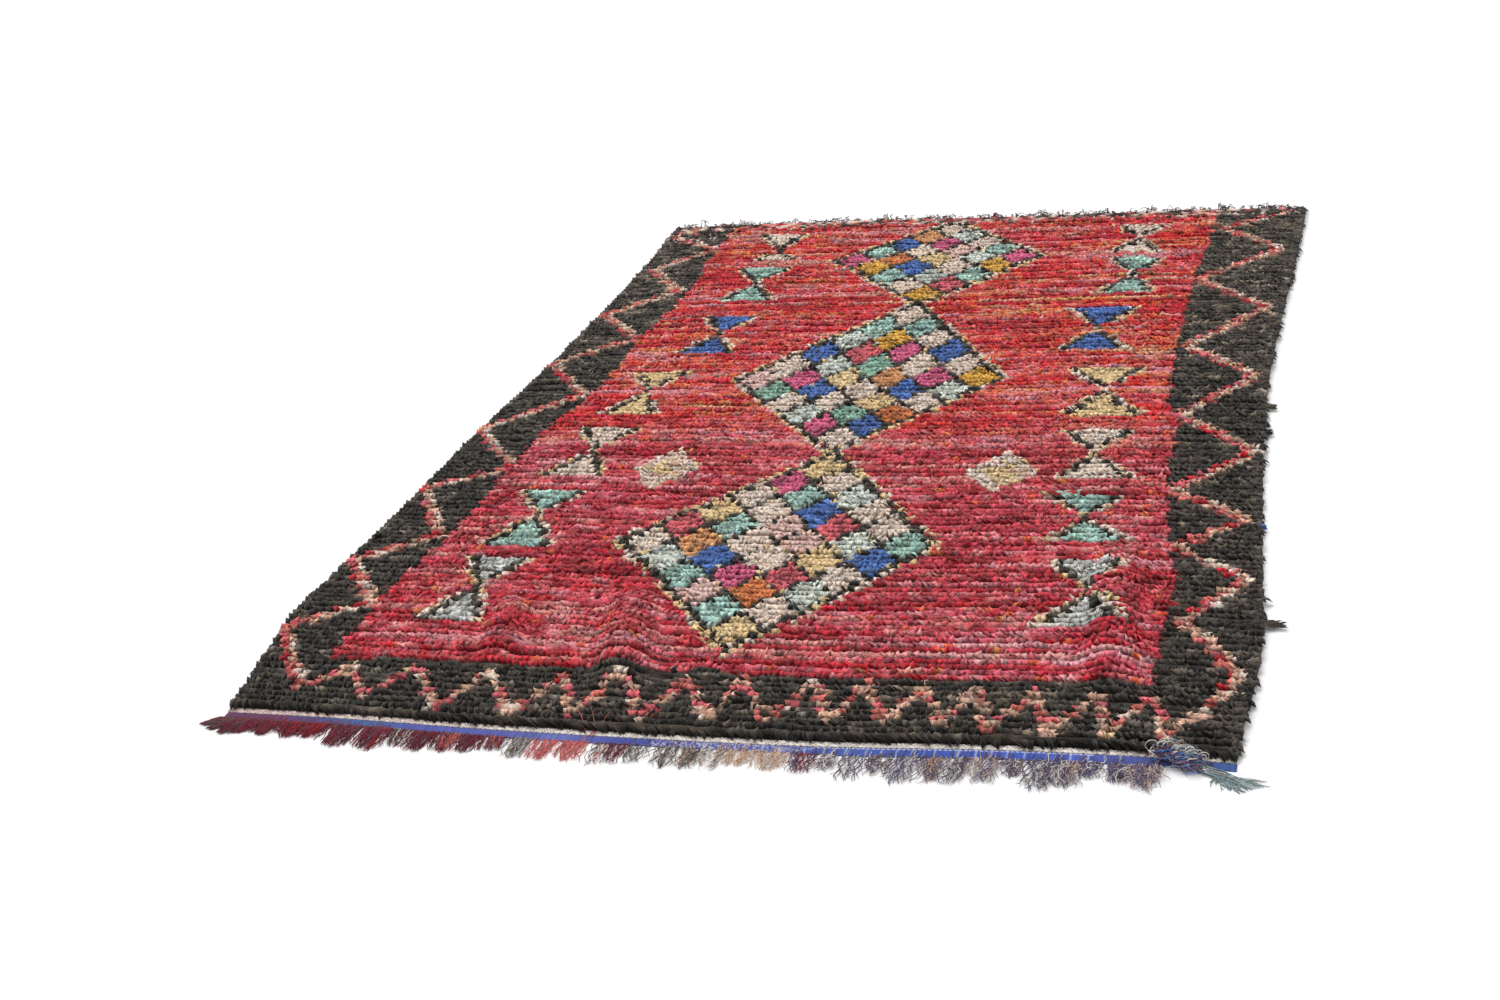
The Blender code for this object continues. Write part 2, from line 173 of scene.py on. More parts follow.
# Zigzag lines of the borders, as turning points in millimetres
ZIGZAG_LEFT = [
    (74, 92), (4, 178), (-46, 272), (74, 362), (-38, 517), (91, 620), (-26, 820), (122, 920), (-30, 1108),
    (143, 1278), (-1, 1457), (154, 1601), (16, 1755), (161, 1909), (36, 2052), (160, 2204), (6, 2308),
    (100, 2400),
]
ZIGZAG_RIGHT = [
    (1566, 165), (1590, 224), (1487, 388), (1580, 518), (1454, 627), (1567, 735), (1432, 844), (1563, 1009),
    (1412, 1171), (1544, 1364), (1392, 1521), (1547, 1735), (1386, 1915), (1557, 2097), (1417, 2254),
    (1553, 2351), (1570, 2400),
]
ZIGZAG_FRONT = [
    (78, 72), (142, 150), (203, 56), (264, 150), (345, 34), (396, 150), (477, 30), (530, 146), (582, 32),
    (629, 150), (697, 30), (738, 152), (804, 36), (833, 154), (900, 38), (945, 158), (996, 46), (1030, 156),
    (1082, 46), (1119, 158), (1165, 46), (1198, 158), (1238, 46), (1291, 158), (1327, 46), (1388, 152),
    (1413, 46), (1467, 152), (1496, 44), (1566, 165),
]
SIDE_ZIGZAG_HALF = 0.0132
FRONT_ZIGZAG_HALF = 0.0086
ZIGZAG_SPAN = 4  # strands of one colour

# Lozenge lattices down the middle. Rows of the chart run from the back to the front.
Lattice = namedtuple("Lattice", "back_x back_v side_v left_x right_x front_x front_v cells chart")
LATTICES = [
    Lattice(0.770, 0.985, 0.617, 0.464, 1.040, 0.774, 0.248, 6,
            ["y", "mc", "ctp", "ycbc", "PtkPc", "cackpt", "pbcyb", "tmPc", "kop", "tc", "y"]),
    Lattice(0.770, 1.789, 1.358, 0.466, 1.031, 0.760, 1.003, 6,
            ["c", "tt", "pgc", "bPmb", "cpecc", "kmyamg", "ebcbp", "ccyc", "peo", "mb", "c"]),
    Lattice(0.750, 2.352, 2.095, 0.506, 1.000, 0.772, 1.790, 5,
            ["c", "ap", "bmc", "tckt", "moypm", "gbcg", "tpt", "cP", "g"]),
]
LATTICE_LINE = 0.0050
LATTICE_DARK = 0.0088
LATTICE_RIM = 0.0180

# Hourglass figures beside the lattices, from places in millimetres
Hourglass = namedtuple("Hourglass", "back_x back_v waist_x waist_v front_x front_v half_width yarn")
HOURGLASSES = [Hourglass(*(place / 1000.0 for place in places), letter) for *places, letter in (
    (312, 2302, 336, 2176, 343, 2099, 46, "c"),
    (332, 2054, 339, 1946, 346, 1830, 56, "t"),
    (344, 1734, 343, 1621, 344, 1507, 53, "b"),
    (282, 1406, 280, 1300, 277, 1176, 50, "y"),
    (266, 1113, 268, 1003, 260, 880, 52, "c"),
    (255, 822, 254, 718, 262, 588, 55, "t"),
    (251, 540, 250, 434, 248, 313, 46, "w"),
    (1219, 2295, 1222, 2203, 1223, 2100, 45, "c"),
    (1235, 2069, 1238, 1953, 1233, 1838, 51, "t"),
    (1200, 1747, 1197, 1626, 1202, 1500, 60, "b"),
    (1244, 1407, 1253, 1297, 1263, 1170, 62, "y"),
    (1268, 1105, 1270, 1001, 1288, 890, 54, "c"),
    (1277, 832, 1291, 735, 1306, 640, 56, "t"),
    (1319, 571, 1331, 468, 1325, 352, 52, "w"),
)]
HOURGLASS_DARK = 0.0130
HOURGLASS_PALE = 0.0255

# Small single figures: two lozenges, the neck between two lattices and one red knot
SMALL_LOZENGES = [(0.448, 0.919), (1.112, 0.917)]
SMALL_LOZENGE_HALF_X = 0.071
SMALL_LOZENGE_HALF_V = 0.092
SMALL_LOZENGE_CORE = 0.55
NECK_X = 0.757
NECK_HALF_X = 0.020
NECK_FRONT_V = 0.985
NECK_BACK_V = 1.010
RED_KNOT_X = 0.52
RED_KNOT_V = 0.13
RED_KNOT_REACH = 0.009

# Front fringe: clumps of threads, with tip and curl in millimetres and the yarn letters that they mix
Clump = namedtuple("Clump", "tip_x tip_v threads curl yarns")
FRONT_CLUMPS = [Clump(x / 1000.0, v / 1000.0, count, curl / 1000.0, yarns) for x, v, count, curl, yarns in (
    (-50, -53, 60, 1.8, "FFVN"), (-34, -66, 60, 1.8, "FFVN"), (-5, -77, 56, 1.8, "FFVN"),
    (22, -72, 50, 1.8, "FFFV"), (77, -75, 54, 1.8, "FFVF"), (131, -79, 54, 1.8, "FDFF"),
    (165, -76, 50, 1.8, "DDFF"), (221, -98, 46, 2, "FFVF"), (281, -104, 44, 2, "FFDV"),
    (329, -88, 30, 2.6, "GwNF"), (363, -99, 42, 2, "FFVF"), (409, -98, 38, 2, "FFVs"),
    (446, -94, 36, 2.2, "FFVF"), (488, -86, 30, 2.4, "FsVF"), (530, -103, 28, 3.4, "GwNG"),
    (566, -103, 32, 2.6, "ssPG"), (619, -106, 34, 1.8, "ssPs"), (658, -105, 12, 4.8, "sGNG"),
    (688, -105, 24, 2.2, "DFFV"), (722, -91, 16, 5, "NGGN"), (773, -97, 24, 5, "NGwG"),
    (802, -100, 26, 4.4, "GNTN"), (845, -98, 24, 4.4, "wTWG"), (877, -93, 34, 3, "TTTW"),
    (937, -100, 42, 2.8, "TTWT"), (989, -98, 28, 4, "UFDU"), (1013, -84, 24, 5.2, "GUWW"),
    (1056, -108, 18, 4.4, "UGUW"), (1097, -88, 24, 6.2, "UGUW"), (1135, -104, 28, 5.8, "UUUW"),
    (1185, -96, 30, 6, "UUGT"), (1206, -101, 26, 6, "UWUG"), (1250, -92, 34, 6.2, "TUUW"),
    (1286, -74, 24, 6, "UGUW"), (1334, -102, 36, 6.6, "WNUU"), (1372, -94, 38, 6.6, "TUUW"),
    (1400, -68, 28, 6.2, "WUUU"), (1445, -76, 42, 6.2, "UUWU"), (1474, -90, 46, 6.2, "UTWU"),
)]

# Corner tassel: path of its thick part and the tips of its thin ends
TASSEL_PATH = [
    (1.494, -0.007, 0.0172), (1.508, -0.013, 0.0160), (1.524, -0.019, 0.0120), (1.540, -0.028, 0.0080),
    (1.557, -0.038, 0.0044), (1.580, -0.049, 0.0026),
]
TASSEL_TIPS = [(1.636, -0.060), (1.630, -0.072), (1.614, -0.082), (1.592, -0.078), (1.572, -0.066)]


def stacked(*parts):
    """Arrays side by side along a new last axis."""
    return np.stack(np.broadcast_arrays(*parts), axis=-1)


def unit(vectors):
    """Vectors brought to length one."""
    return vectors / np.maximum(np.linalg.norm(vectors, axis=-1, keepdims=True), 1e-9)


def jitter(spread, shape):
    """Random amounts on both sides of zero."""
    return DICE.normal(0.0, spread, shape)


def between(low, high, shape):
    """Random amounts between two values."""
    return DICE.uniform(low, high, shape)


def chance(odds, shape):
    """True at random places, in the given share of them."""
    return DICE.random(shape) < odds


def soft_step(value, start, length):
    """Rises from 0 at the start to 1 a length further on, with soft ends."""
    share = np.clip((value - start) / length, 0.0, 1.0)
    return share * share * (3.0 - 2.0 * share)


def curve_reader(table):
    """Smooth reading of an edge table in millimetres, for arrays in metres."""
    places, values = np.array(table).T / 1000.0
    before = np.maximum(np.arange(len(places)) - 1, 0)
    after = np.minimum(np.arange(len(places)) + 1, len(places) - 1)
    slopes = (values[after] - values[before]) / (places[after] - places[before])

    def read(at):
        at = np.clip(np.asarray(at, float), places[0], places[-1])
        k = np.clip(np.searchsorted(places, at, side="right") - 1, 0, len(places) - 2)
        gap = places[k + 1] - places[k]
        s = (at - places[k]) / gap
        square = s * s
        cube = square * s
        return ((2 * cube - 3 * square + 1) * values[k] + (cube - 2 * square + s) * slopes[k] * gap
                + (3 * square - 2 * cube) * values[k + 1] + (cube - square) * slopes[k + 1] * gap)

    return read


left_at = curve_reader(LEFT_EDGE)
right_at = curve_reader(RIGHT_EDGE)
front_at = curve_reader(FRONT_EDGE)
back_at = curve_reader(BACK_EDGE)
field_left_at = curve_reader(FIELD_LEFT)
field_right_at = curve_reader(FIELD_RIGHT)
front_border_at = curve_reader(FRONT_BORDER)


def ruck_lift(x, v):
    """Height of the cloth above the floor."""
    total = np.zeros(np.broadcast(x, v).shape)
    for ruck in RUCKS:
        share = (v - ruck.front_v) / (ruck.back_v - ruck.front_v)
        middle = ruck.front_x + share * (ruck.back_x - ruck.front_x)
        offset = np.clip(np.abs(x - middle) / ruck.half_width, 0.0, 1.0)
        across = 0.5 + 0.5 * np.cos(np.pi * offset)
        inside = (share > 0.0) & (share < 1.0)
        along = soft_step(share, 0.0, 0.32) * (1.0 - soft_step(share, 0.55, 0.45))
        total = total + inside * ruck.height * across * along
    return total


def lumps(x, v):
    """Slow unevenness of the pile."""
    wave = np.sin(23.0 * x + 9.0 * v) + np.sin(41.0 * v - 13.0 * x + 1.7)
    return 0.0005 * (wave + np.sin(57.0 * x + 2.1) * np.sin(37.0 * v + 0.6))


def cloth_point(share, row):
    """Rug position of a share of the width on a knot row."""
    v = RUG_LENGTH * row / ROW_COUNT + np.zeros(np.shape(share))
    for _ in range(3):
        left = left_at(v)
        x = left + share * (right_at(v) - left)
        front = front_at(x)
        v = front + (back_at(x) - front) * row / ROW_COUNT
    return x, v


def seen_at(x, v):
    """Where the camera sees a point of the pile against the plane in which the pattern was measured."""
    over = PILE_SEEN - (PLANE_FRONT + PLANE_RISE * v / RUG_LENGTH)
    return x + over / CAMERA_HEIGHT * (x - CAMERA_X), v + over / CAMERA_HEIGHT * (v - CAMERA_V)


def to_frame(x, v, z):
    """Rug positions as points of the frame."""
    return stacked(x - FRAME_MIDDLE_X, v - FRAME_MIDDLE_V, z)


def linear(color):
    """Display colour from 0 to 255 as linear light."""
    c = np.asarray(color, float) / 255.0
    return np.where(c <= 0.04045, c / 12.92, ((c + 0.055) / 1.055) ** 2.4)


YARN_LINEAR = np.array([linear(YARNS[key]) for key in YARN_KEYS])


def yarn(letter):
    """Number of a yarn."""
    return YARN_KEYS.index(letter)


def pick(letters, weights, count):
    """Random yarn numbers from a mix."""
    odds = np.array(weights, float)
    return DICE.choice([yarn(letter) for letter in letters], size=count, p=odds / odds.sum())


def paint(found, where, letters, weights=None, span=STRANDS_IN_KNOT):
    """Gives the marked strands one yarn, or a mix that is the same for the strands of one knot."""
    if weights is None:
        numbers = yarn(letters)
    else:
        chosen = pick(letters, weights, (found.shape[0], found.shape[1] // span + 1))
        numbers = np.repeat(chosen, span, axis=1)[:, :found.shape[1]]
    np.copyto(found, numbers, where=where)


def row_noise(shape, reach):
    """Noise that is alike for neighbours in a knot row, from 0 to 1."""
    raw = DICE.standard_normal((shape[0], shape[1] + reach))
    total = np.cumsum(np.pad(raw, ((0, 0), (1, 0))), axis=1)
    smooth = (total[:, reach:] - total[:, :-reach])[:, :shape[1]] / math.sqrt(reach)
    return 0.5 * (1.0 + np.tanh(0.8 * smooth))


def row_swing(shape, reach):
    """The same noise on both sides of zero."""
    return row_noise(shape, reach) - 0.5


def line_distance(x, v, points):
    """Signed distance from a line of turning points; the sign tells its two sides apart."""
    points = (np.array(points) / 1000.0).tolist()
    signed = np.full(x.shape, 9.0)
    for (x0, v0), (x1, v1) in zip(points, points[1:]):
        run_x = x1 - x0
        run_v = v1 - v0
        share = np.clip(((x - x0) * run_x + (v - v0) * run_v) / (run_x ** 2 + run_v ** 2), 0.0, 1.0)
        off_x = x - x0 - share * run_x
        distance = np.hypot(off_x, v - v0 - share * run_v)
        sided = np.where(off_x > 0.0, distance, -distance)
        signed = np.where(distance < np.abs(signed), sided, signed)
    return signed


def field_tones(x, v):
    """Red ground whose dye changes from dusty rose in front to scarlet at the back, as linear colours."""
    tone = 0.42 * row_noise(x.shape, 26) + 0.30 * row_noise(x.shape, 6) + 0.28 * row_noise(x.shape, 2)
    tone = tone + 0.08 * np.sin(9.0 * x + 3.0 * v) * np.sin(11.0 * v + 1.0) + 0.05 * np.sin(31.0 * v)
    back = soft_step(v, 1.1, 0.8)
    tone = tone + (0.09 + 0.04 * back) * DICE.standard_normal((x.shape[0], 1))
    tone = np.clip((tone - 0.5) * (1.75 + 0.85 * back) + 0.49, 0.0, 1.0)
    dusty = 1.0 - soft_step(v, 0.40, 0.22)
    scarlet = soft_step(v, 0.95, 0.25)
    color = np.zeros(x.shape + (3,))
    for share, letters in ((dusty, "DCrPL"), (1.0 - dusty - scarlet, "DrrPL"), (scarlet, "CSPOL")):
        line = YARN_LINEAR[[yarn(letter) for letter in letters]]
        mixed = [np.interp(tone, np.linspace(0.0, 1.0, len(line)), line[:, k]) for k in range(3)]
        color += share[..., None] * stacked(*mixed)
    warm = row_swing(x.shape, 30) * (0.25 + 0.85 * soft_step(v, 0.9, 0.4))
    warm = warm + back * (0.16 * np.sin(31.4 * v + 2.54) + 0.12 * np.sin(4.0 * x + 9.0 * v))
    color = color * (1.0 + np.maximum(warm, COOLEST)[..., None] * np.array([0.10, 0.60, -0.70]))
    # Paler and more mauve towards the front right
    paler_front_right = soft_step(x, 1.02, 0.18) * (1.0 - soft_step(v, 0.26, 0.16))
    return color * (1.0 + paler_front_right[..., None] * np.array([0.06, 0.36, 0.40]))


def draw_borders(found, x, v):
    """Dark border wool, worn paler here and there, with two-tone side zigzags and a flecked front one."""
    border = (x < field_left_at(v)) | (x > field_right_at(v)) | (v < front_border_at(x))
    tone = 0.55 * row_noise(x.shape, 14) + 0.45 * row_noise(x.shape, 3) + 0.30 * soft_step(v, 1.2, 0.7)
    paint(found, border, "n")
    paint(found, border & (tone > WORN_FROM), "N")
    for points in (ZIGZAG_LEFT, ZIGZAG_RIGHT):
        away = line_distance(x, v, points)
        near = border & (np.abs(away) < SIDE_ZIGZAG_HALF)
        paint(found, near & (away > 0.0), "zcTs", (38, 28, 22, 12), ZIGZAG_SPAN)
        paint(found, near & (away <= 0.0), "sPCz", (42, 20, 18, 20), ZIGZAG_SPAN)
    near = border & (np.abs(line_distance(x, v, ZIGZAG_FRONT)) < FRONT_ZIGZAG_HALF)
    paint(found, near, "zsPcTy", (34, 24, 18, 7, 13, 4), ZIGZAG_SPAN)


def draw_hourglass(found, x, v, figure):
    """Two triangles point to point, with a stepped dark edge and a pale outer edge."""
    behind = v > figure.waist_v
    end_v = np.where(behind, figure.back_v, figure.front_v)
    end_x = np.where(behind, figure.back_x, figure.front_x)
    share = (v - figure.waist_v) / (end_v - figure.waist_v)
    off = np.abs(x - (figure.waist_x + np.clip(share, 0.0, 1.0) * (end_x - figure.waist_x)))
    core = figure.half_width * np.clip((share - 0.16) / 0.84, 0.0, 1.0)
    inside = share <= 1.0
    rim = np.clip(share / 0.35, 0.40, 1.0)
    paint(found, inside & (off < core + HOURGLASS_PALE * rim), "cyz", (46, 30, 24))
    paint(found, inside & (off < core + HOURGLASS_DARK * rim) & (share < 0.97), "n")
    paint(found, inside & (off < core - 0.001), figure.yarn)


def draw_lattice(found, x, v, lattice):
    """Grid of small lozenges inside a large one, with dark lines and a yellow outer line."""
    cells = lattice.cells
    behind = v > lattice.side_v
    tall = np.where(behind, lattice.back_v - lattice.side_v, lattice.side_v - lattice.front_v)
    up = (v - lattice.side_v) / tall
    middle = 0.5 * (lattice.left_x + lattice.right_x)
    end_x = np.where(behind, lattice.back_x, lattice.front_x)
    half = 0.5 * (lattice.right_x - lattice.left_x)
    right = (x - (middle + np.abs(up) * (end_x - middle))) / half
    rise = 0.5 * (lattice.back_v - lattice.front_v) / cells
    run = half / cells
    pitch = 2.0 * rise * run / math.hypot(rise, run)
    first = 0.5 * (up + right + 1.0) * cells
    second = 0.5 * (up - right + 1.0) * cells
    beyond = np.maximum(np.abs(first - 0.5 * cells), np.abs(second - 0.5 * cells))
    beyond = (beyond - 0.5 * cells) * pitch
    dark = beyond < LATTICE_DARK
    paint(found, (beyond < LATTICE_RIM) & (dark | chance(0.80, x.shape)), "yc", (60, 40))
    paint(found, dark & chance(0.90, x.shape), "n")
    a = np.clip(first.astype(int), 0, cells - 1)
    b = np.clip(second.astype(int), 0, cells - 1)
    row = 2 * (cells - 1) - a - b
    place = np.where(row < cells, cells - 1 - b, a)
    chart = np.zeros((2 * cells - 1, cells), int)
    for k, letters in enumerate(lattice.chart):
        chart[k, :len(letters)] = [yarn(letter) for letter in letters]
    near_first, near_second = [np.minimum(way % 1.0, 1.0 - way % 1.0) * pitch for way in (first, second)]
    on_line = np.minimum(near_first, near_second) < LATTICE_LINE
    at_corner = np.maximum(near_first, near_second) < 3.0 * LATTICE_LINE
    inside = (beyond < 0.0) & ~(on_line & (at_corner | chance(0.84, x.shape)))
    np.copyto(found, chart[row, place], where=inside)


def pattern(x, v):
    """Yarn number of every knot, from its place in the pattern."""
    x = x + jitter(0.0010, x.shape) + jitter(0.0014, (x.shape[0], 1))
    v = v + jitter(0.0014, x.shape)
    found = np.full(x.shape, FIELD)
    rare = np.repeat(DICE.random((x.shape[0], x.shape[1] // 2 + 1)), 2, axis=1)[:, :x.shape[1]]
    paint(found, rare < 0.010, "O")
    paint(found, rare > 0.997, "o")
    draw_borders(found, x, v)
    for figure in HOURGLASSES:
        draw_hourglass(found, x, v, figure)
    for middle_x, middle_v in SMALL_LOZENGES:
        reach = np.abs(x - middle_x) / SMALL_LOZENGE_HALF_X + np.abs(v - middle_v) / SMALL_LOZENGE_HALF_V
        paint(found, reach < 1.0, "cky", (60, 25, 15))
        paint(found, reach < SMALL_LOZENGE_CORE, "yzc", (60, 20, 20))
    for lattice in reversed(LATTICES):
        draw_lattice(found, x, v, lattice)
    neck = (np.abs(x - NECK_X) < NECK_HALF_X) & (v > NECK_FRONT_V) & (v < NECK_BACK_V)
    paint(found, neck, "yn", (60, 40))
    corner = 0.35 * soft_step(-x, -0.17, 0.03) * soft_step(v, 2.20, 0.08)
    frayed = np.maximum(corner, 0.88 * soft_step(v, 2.325, 0.05)) > DICE.random(x.shape)
    paint(found, frayed, "nNckLPV", (32, 24, 12, 10, 8, 8, 6))
    paint(found, np.hypot(x - RED_KNOT_X, v - RED_KNOT_V) < RED_KNOT_REACH, "R")
    return found


def knot_colors(numbers, x, v):
    """Linear colours of all knots, with the dyed red ground where no figure is."""
    colors = np.where((numbers == FIELD)[..., None], field_tones(x, v), YARN_LINEAR[numbers])
    tuft = 0.72 * row_swing(x.shape, 3) + 0.36 * row_swing(x.shape, 7)
    far = 0.60 * soft_step(v, 1.2, 0.8) * row_swing(x.shape, 12)
    dark = np.isin(numbers, [yarn("n"), yarn("N")])
    tuft = tuft * np.where(dark, 2.2, 1.0) + far + dark * DICE.normal(0.04, 0.20, x.shape)
    return varied(colors * np.exp(tuft)[..., None], 0.13)


def varied(colors, spread):
    """Each strand a little lighter or darker and warmer or cooler."""
    light = np.exp(jitter(spread, colors.shape[:-1]))[..., None]
    warm = 1.0 + jitter(0.035, colors.shape[:-1])[..., None] * np.array([1.0, 0.0, -1.0])
    return kept_hue(colors * light * warm)


def kept_hue(colors):
    """Brings too bright colours down with little change of hue."""
    top = np.maximum(colors.max(axis=-1, keepdims=True), DARKEST)
    return np.clip(colors * np.minimum(1.0, BRIGHTEST / top), DARKEST, BRIGHTEST)


def add_object(name, data):
    """Puts a mesh, light or camera into the scene."""
    made = bpy.data.objects.new(name, data)
    bpy.context.scene.collection.objects.link(made)
    return made


def add_mesh(name, points, quads, tris, colors, uvs, material):
    """Makes one piece from arrays of points, faces, point colours and loop places."""
    loops = np.concatenate([quads.ravel(), tris.ravel()]).astype(np.int32)
    starts = np.concatenate([4 * np.arange(len(quads)), 4 * len(quads) + 3 * np.arange(len(tris))])
    mesh = bpy.data.meshes.new(name)
    mesh.vertices.add(len(points))
    mesh.vertices.foreach_set("co", points.astype(np.float32).ravel())
    mesh.loops.add(len(loops))
    mesh.loops.foreach_set("vertex_index", loops)
    mesh.polygons.add(len(starts))
    mesh.polygons.foreach_set("loop_start", starts.astype(np.int32))
    mesh.update(calc_edges=True)
    mesh.polygons.foreach_set("use_smooth", np.ones(len(starts), bool))
    shade = mesh.color_attributes.new("yarn", "FLOAT_COLOR", "POINT")
    tinted = np.column_stack([colors, np.ones(len(colors))])
    shade.data.foreach_set("color", tinted.astype(np.float32).ravel())
    if uvs is not None:
        layer = mesh.uv_layers.new(name="OFBake")
        layer.data.foreach_set("uv", uvs.astype(np.float32).ravel())
    mesh.validate()
    mesh.materials.append(material)
    piece = add_object(name, mesh)
    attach(piece, "root")
    return piece


def add_strands(name, spine, across, normal, half_width, half_depth, tip, colors, material):
    """Many closed strands at once. Arrays run over strands and rings; each strand ends in a point."""
    count, rings = half_width.shape
    sides = STRAND_SIDES
    angle = (2.0 * np.pi * np.arange(sides) / sides + 0.5 * np.pi)[:, None]
    around = (across[:, :, None] * (np.cos(angle) * half_width[:, :, None, None])
              + normal[:, :, None] * (np.sin(angle) * half_depth[:, :, None, None]))
    body = (spine[:, :, None] + around).reshape(count, rings * sides, 3)
    points = np.concatenate([body, tip[:, None]], axis=1).reshape(-1, 3)
    points[:, 2] = np.maximum(points[:, 2], LOWEST_POINT)
    quads = []
    quad_uv = []
    tris = []
    tri_uv = []
    for k in range(rings):
        for j in range(sides):
            low = [k * sides + j, k * sides + (j + 1) % sides]
            if k < rings - 1:
                quads.append(low + [low[1] + sides, low[0] + sides])
                quad_uv.append([(j, k), (j + 1, k), (j + 1, k + 1), (j, k + 1)])
            else:
                tris.append(low + [rings * sides])
                tri_uv.append([(j, k), (j + 1, k), (j + 0.5, k + 1)])
    tris.append([2, 1, 0])
    tri_uv.append([(3.9, 0.0), (3.9, 0.3), (3.6, 0.3)])
    start = (rings * sides + 1) * np.arange(count)[:, None, None]
    faces = [(start + np.array(part)).reshape(-1, len(part[0])) for part in (quads, tris)]
    cells = math.ceil(math.sqrt(count))
    cell = 1.0 / cells
    corner = cell * stacked(np.arange(count) % cells, np.arange(count) // cells)
    scale = cell * 0.92 / np.array([sides + 1.0, rings])
    places = [(corner[:, None, None] + np.array(part) * scale).reshape(-1, 2) for part in (quad_uv, tri_uv)]
    uvs = np.concatenate(places) + 0.04 * cell
    rings_and_tips = [np.repeat(colors[:, :-1], sides, axis=1), colors[:, -1:]]
    point_colors = np.concatenate(rings_and_tips, axis=1).reshape(-1, 3)
    return add_mesh(name, points, *faces, point_colors, uvs, material)


def feed(tree, node, inputs):
    """Gives a node's inputs plain values or the outputs of other nodes."""
    for name, value in inputs.items():
        if isinstance(value, bpy.types.NodeSocket):
            tree.links.new(value, node.inputs[name])
        else:
            node.inputs[name].default_value = value
    return node


def add_node(tree, kind, inputs):
    """Adds a node and gives it its inputs."""
    return feed(tree, tree.nodes.new("ShaderNode" + kind), inputs)


def new_material(name, surface):
    """New material, with the given inputs for its surface, and its node tree."""
    material = bpy.data.materials.new(name)
    material.use_nodes = True
    tree = material.node_tree
    feed(tree, tree.nodes["Principled BSDF"], surface)
    return material, tree


def add_yarn_color(tree, shade, height, strength, distance):
    """Point colours times a shade, and a raised grain from a height."""
    color = tree.nodes.new("ShaderNodeVertexColor")
    color.layer_name = "yarn"
    mixed = tree.nodes.new("ShaderNodeVectorMath")
    mixed.operation = "SCALE"
    feed(tree, mixed, {0: color.outputs["Color"], "Scale": shade.outputs["Result"]})
    raised = add_node(tree, "Bump", {"Strength": strength, "Distance": distance, "Height": height})
    surface = {"Base Color": mixed.outputs["Vector"], "Normal": raised.outputs["Normal"]}
    feed(tree, tree.nodes["Principled BSDF"], surface)


def wool_material(name, streaks, bump, sheen, along_strands=True):
    """Matt wool: point colours with fibre streaks along each strand and a fine raised grain."""
    surface = {"Roughness": 0.93, "Specular IOR Level": 0.12, "Sheen Weight": sheen, "Sheen Roughness": 0.55}
    material, tree = new_material(name, surface)
    if along_strands:
        place = add_node(tree, "UVMap", {})
        place.uv_map = "OFBake"
        vector = place.outputs["UV"]
    else:
        vector = add_node(tree, "TexCoord", {}).outputs["Object"]
    stretch = add_node(tree, "Mapping", {"Scale": streaks, "Vector": vector})
    fibre = add_node(tree, "TexNoise", {"Vector": stretch.outputs["Vector"], "Scale": 1.0, "Detail": 3.0,
                                        "Roughness": 0.65}).outputs["Fac"]
    depth = add_node(tree, "MapRange", {"Value": fibre, "From Min": 0.30, "From Max": 0.70,
                                        "To Min": 0.42, "To Max": 1.42})
    add_yarn_color(tree, depth, fibre, bump, 0.0012)
    return material


def weave_material(name, thread, bump):
    """Flat weave: point colours with crossing threads."""
    material, tree = new_material(name, {"Roughness": 0.92, "Specular IOR Level": 0.2, "Sheen Weight": 0.15})
    place = add_node(tree, "TexCoord", {}).outputs["Object"]
    cross = tree.nodes.new("ShaderNodeMath")
    cross.operation = "MULTIPLY"
    for k, direction in enumerate("XY"):
        inputs = {"Vector": place, "Scale": 0.314 / thread, "Distortion": 1.2, "Detail": 2.0}
        wave = add_node(tree, "TexWave", inputs)
        wave.bands_direction = direction
        feed(tree, cross, {k: wave.outputs["Fac"]})
    height = cross.outputs["Value"]
    depth = add_node(tree, "MapRange", {"Value": height, "To Min": 0.80, "To Max": 1.25})
    add_yarn_color(tree, depth, height, bump, 0.001)
    return material


def cloth_axes(x, v):
    """Directions of the cloth at a point: across, back and up."""
    slope_x = (ruck_lift(x + SLOPE_STEP, v) - ruck_lift(x - SLOPE_STEP, v)) / (2.0 * SLOPE_STEP)
    slope_v = (ruck_lift(x, v + SLOPE_STEP) - ruck_lift(x, v - SLOPE_STEP)) / (2.0 * SLOPE_STEP)
    across = unit(stacked(1.0, 0.0, slope_x))
    up = unit(stacked(-slope_x, -slope_v, 1.0))
    return across, np.cross(up, across), up


# One strand of a knot: how far it leans out, its height, and the shares of its width and depth
LOCK_OUT = np.array([0.0004, 0.0050, 0.0116])
LOCK_HEIGHT = np.array([0.0070, 0.0154, 0.0120])
LOCK_WIDTH = np.array([0.90, 1.00, 0.72])
LOCK_DEPTH = np.array([0.90, 1.00, 0.80])
LOCK_SWAY = np.array([0.0, 0.6, 1.2])
LOCK_TIP = (0.0168, 0.0050)
LOCK_HALF_WIDTH = 0.0070
LOCK_HALF_DEPTH = 0.0016
# Painted shade and highlight on each strand's three rings and tip: a dark root, a lit top and a dark tip
# that paints the creases between rows
LOCK_PAINTED_SHADE = np.array([0.30, 1.06, 0.62, 0.14])


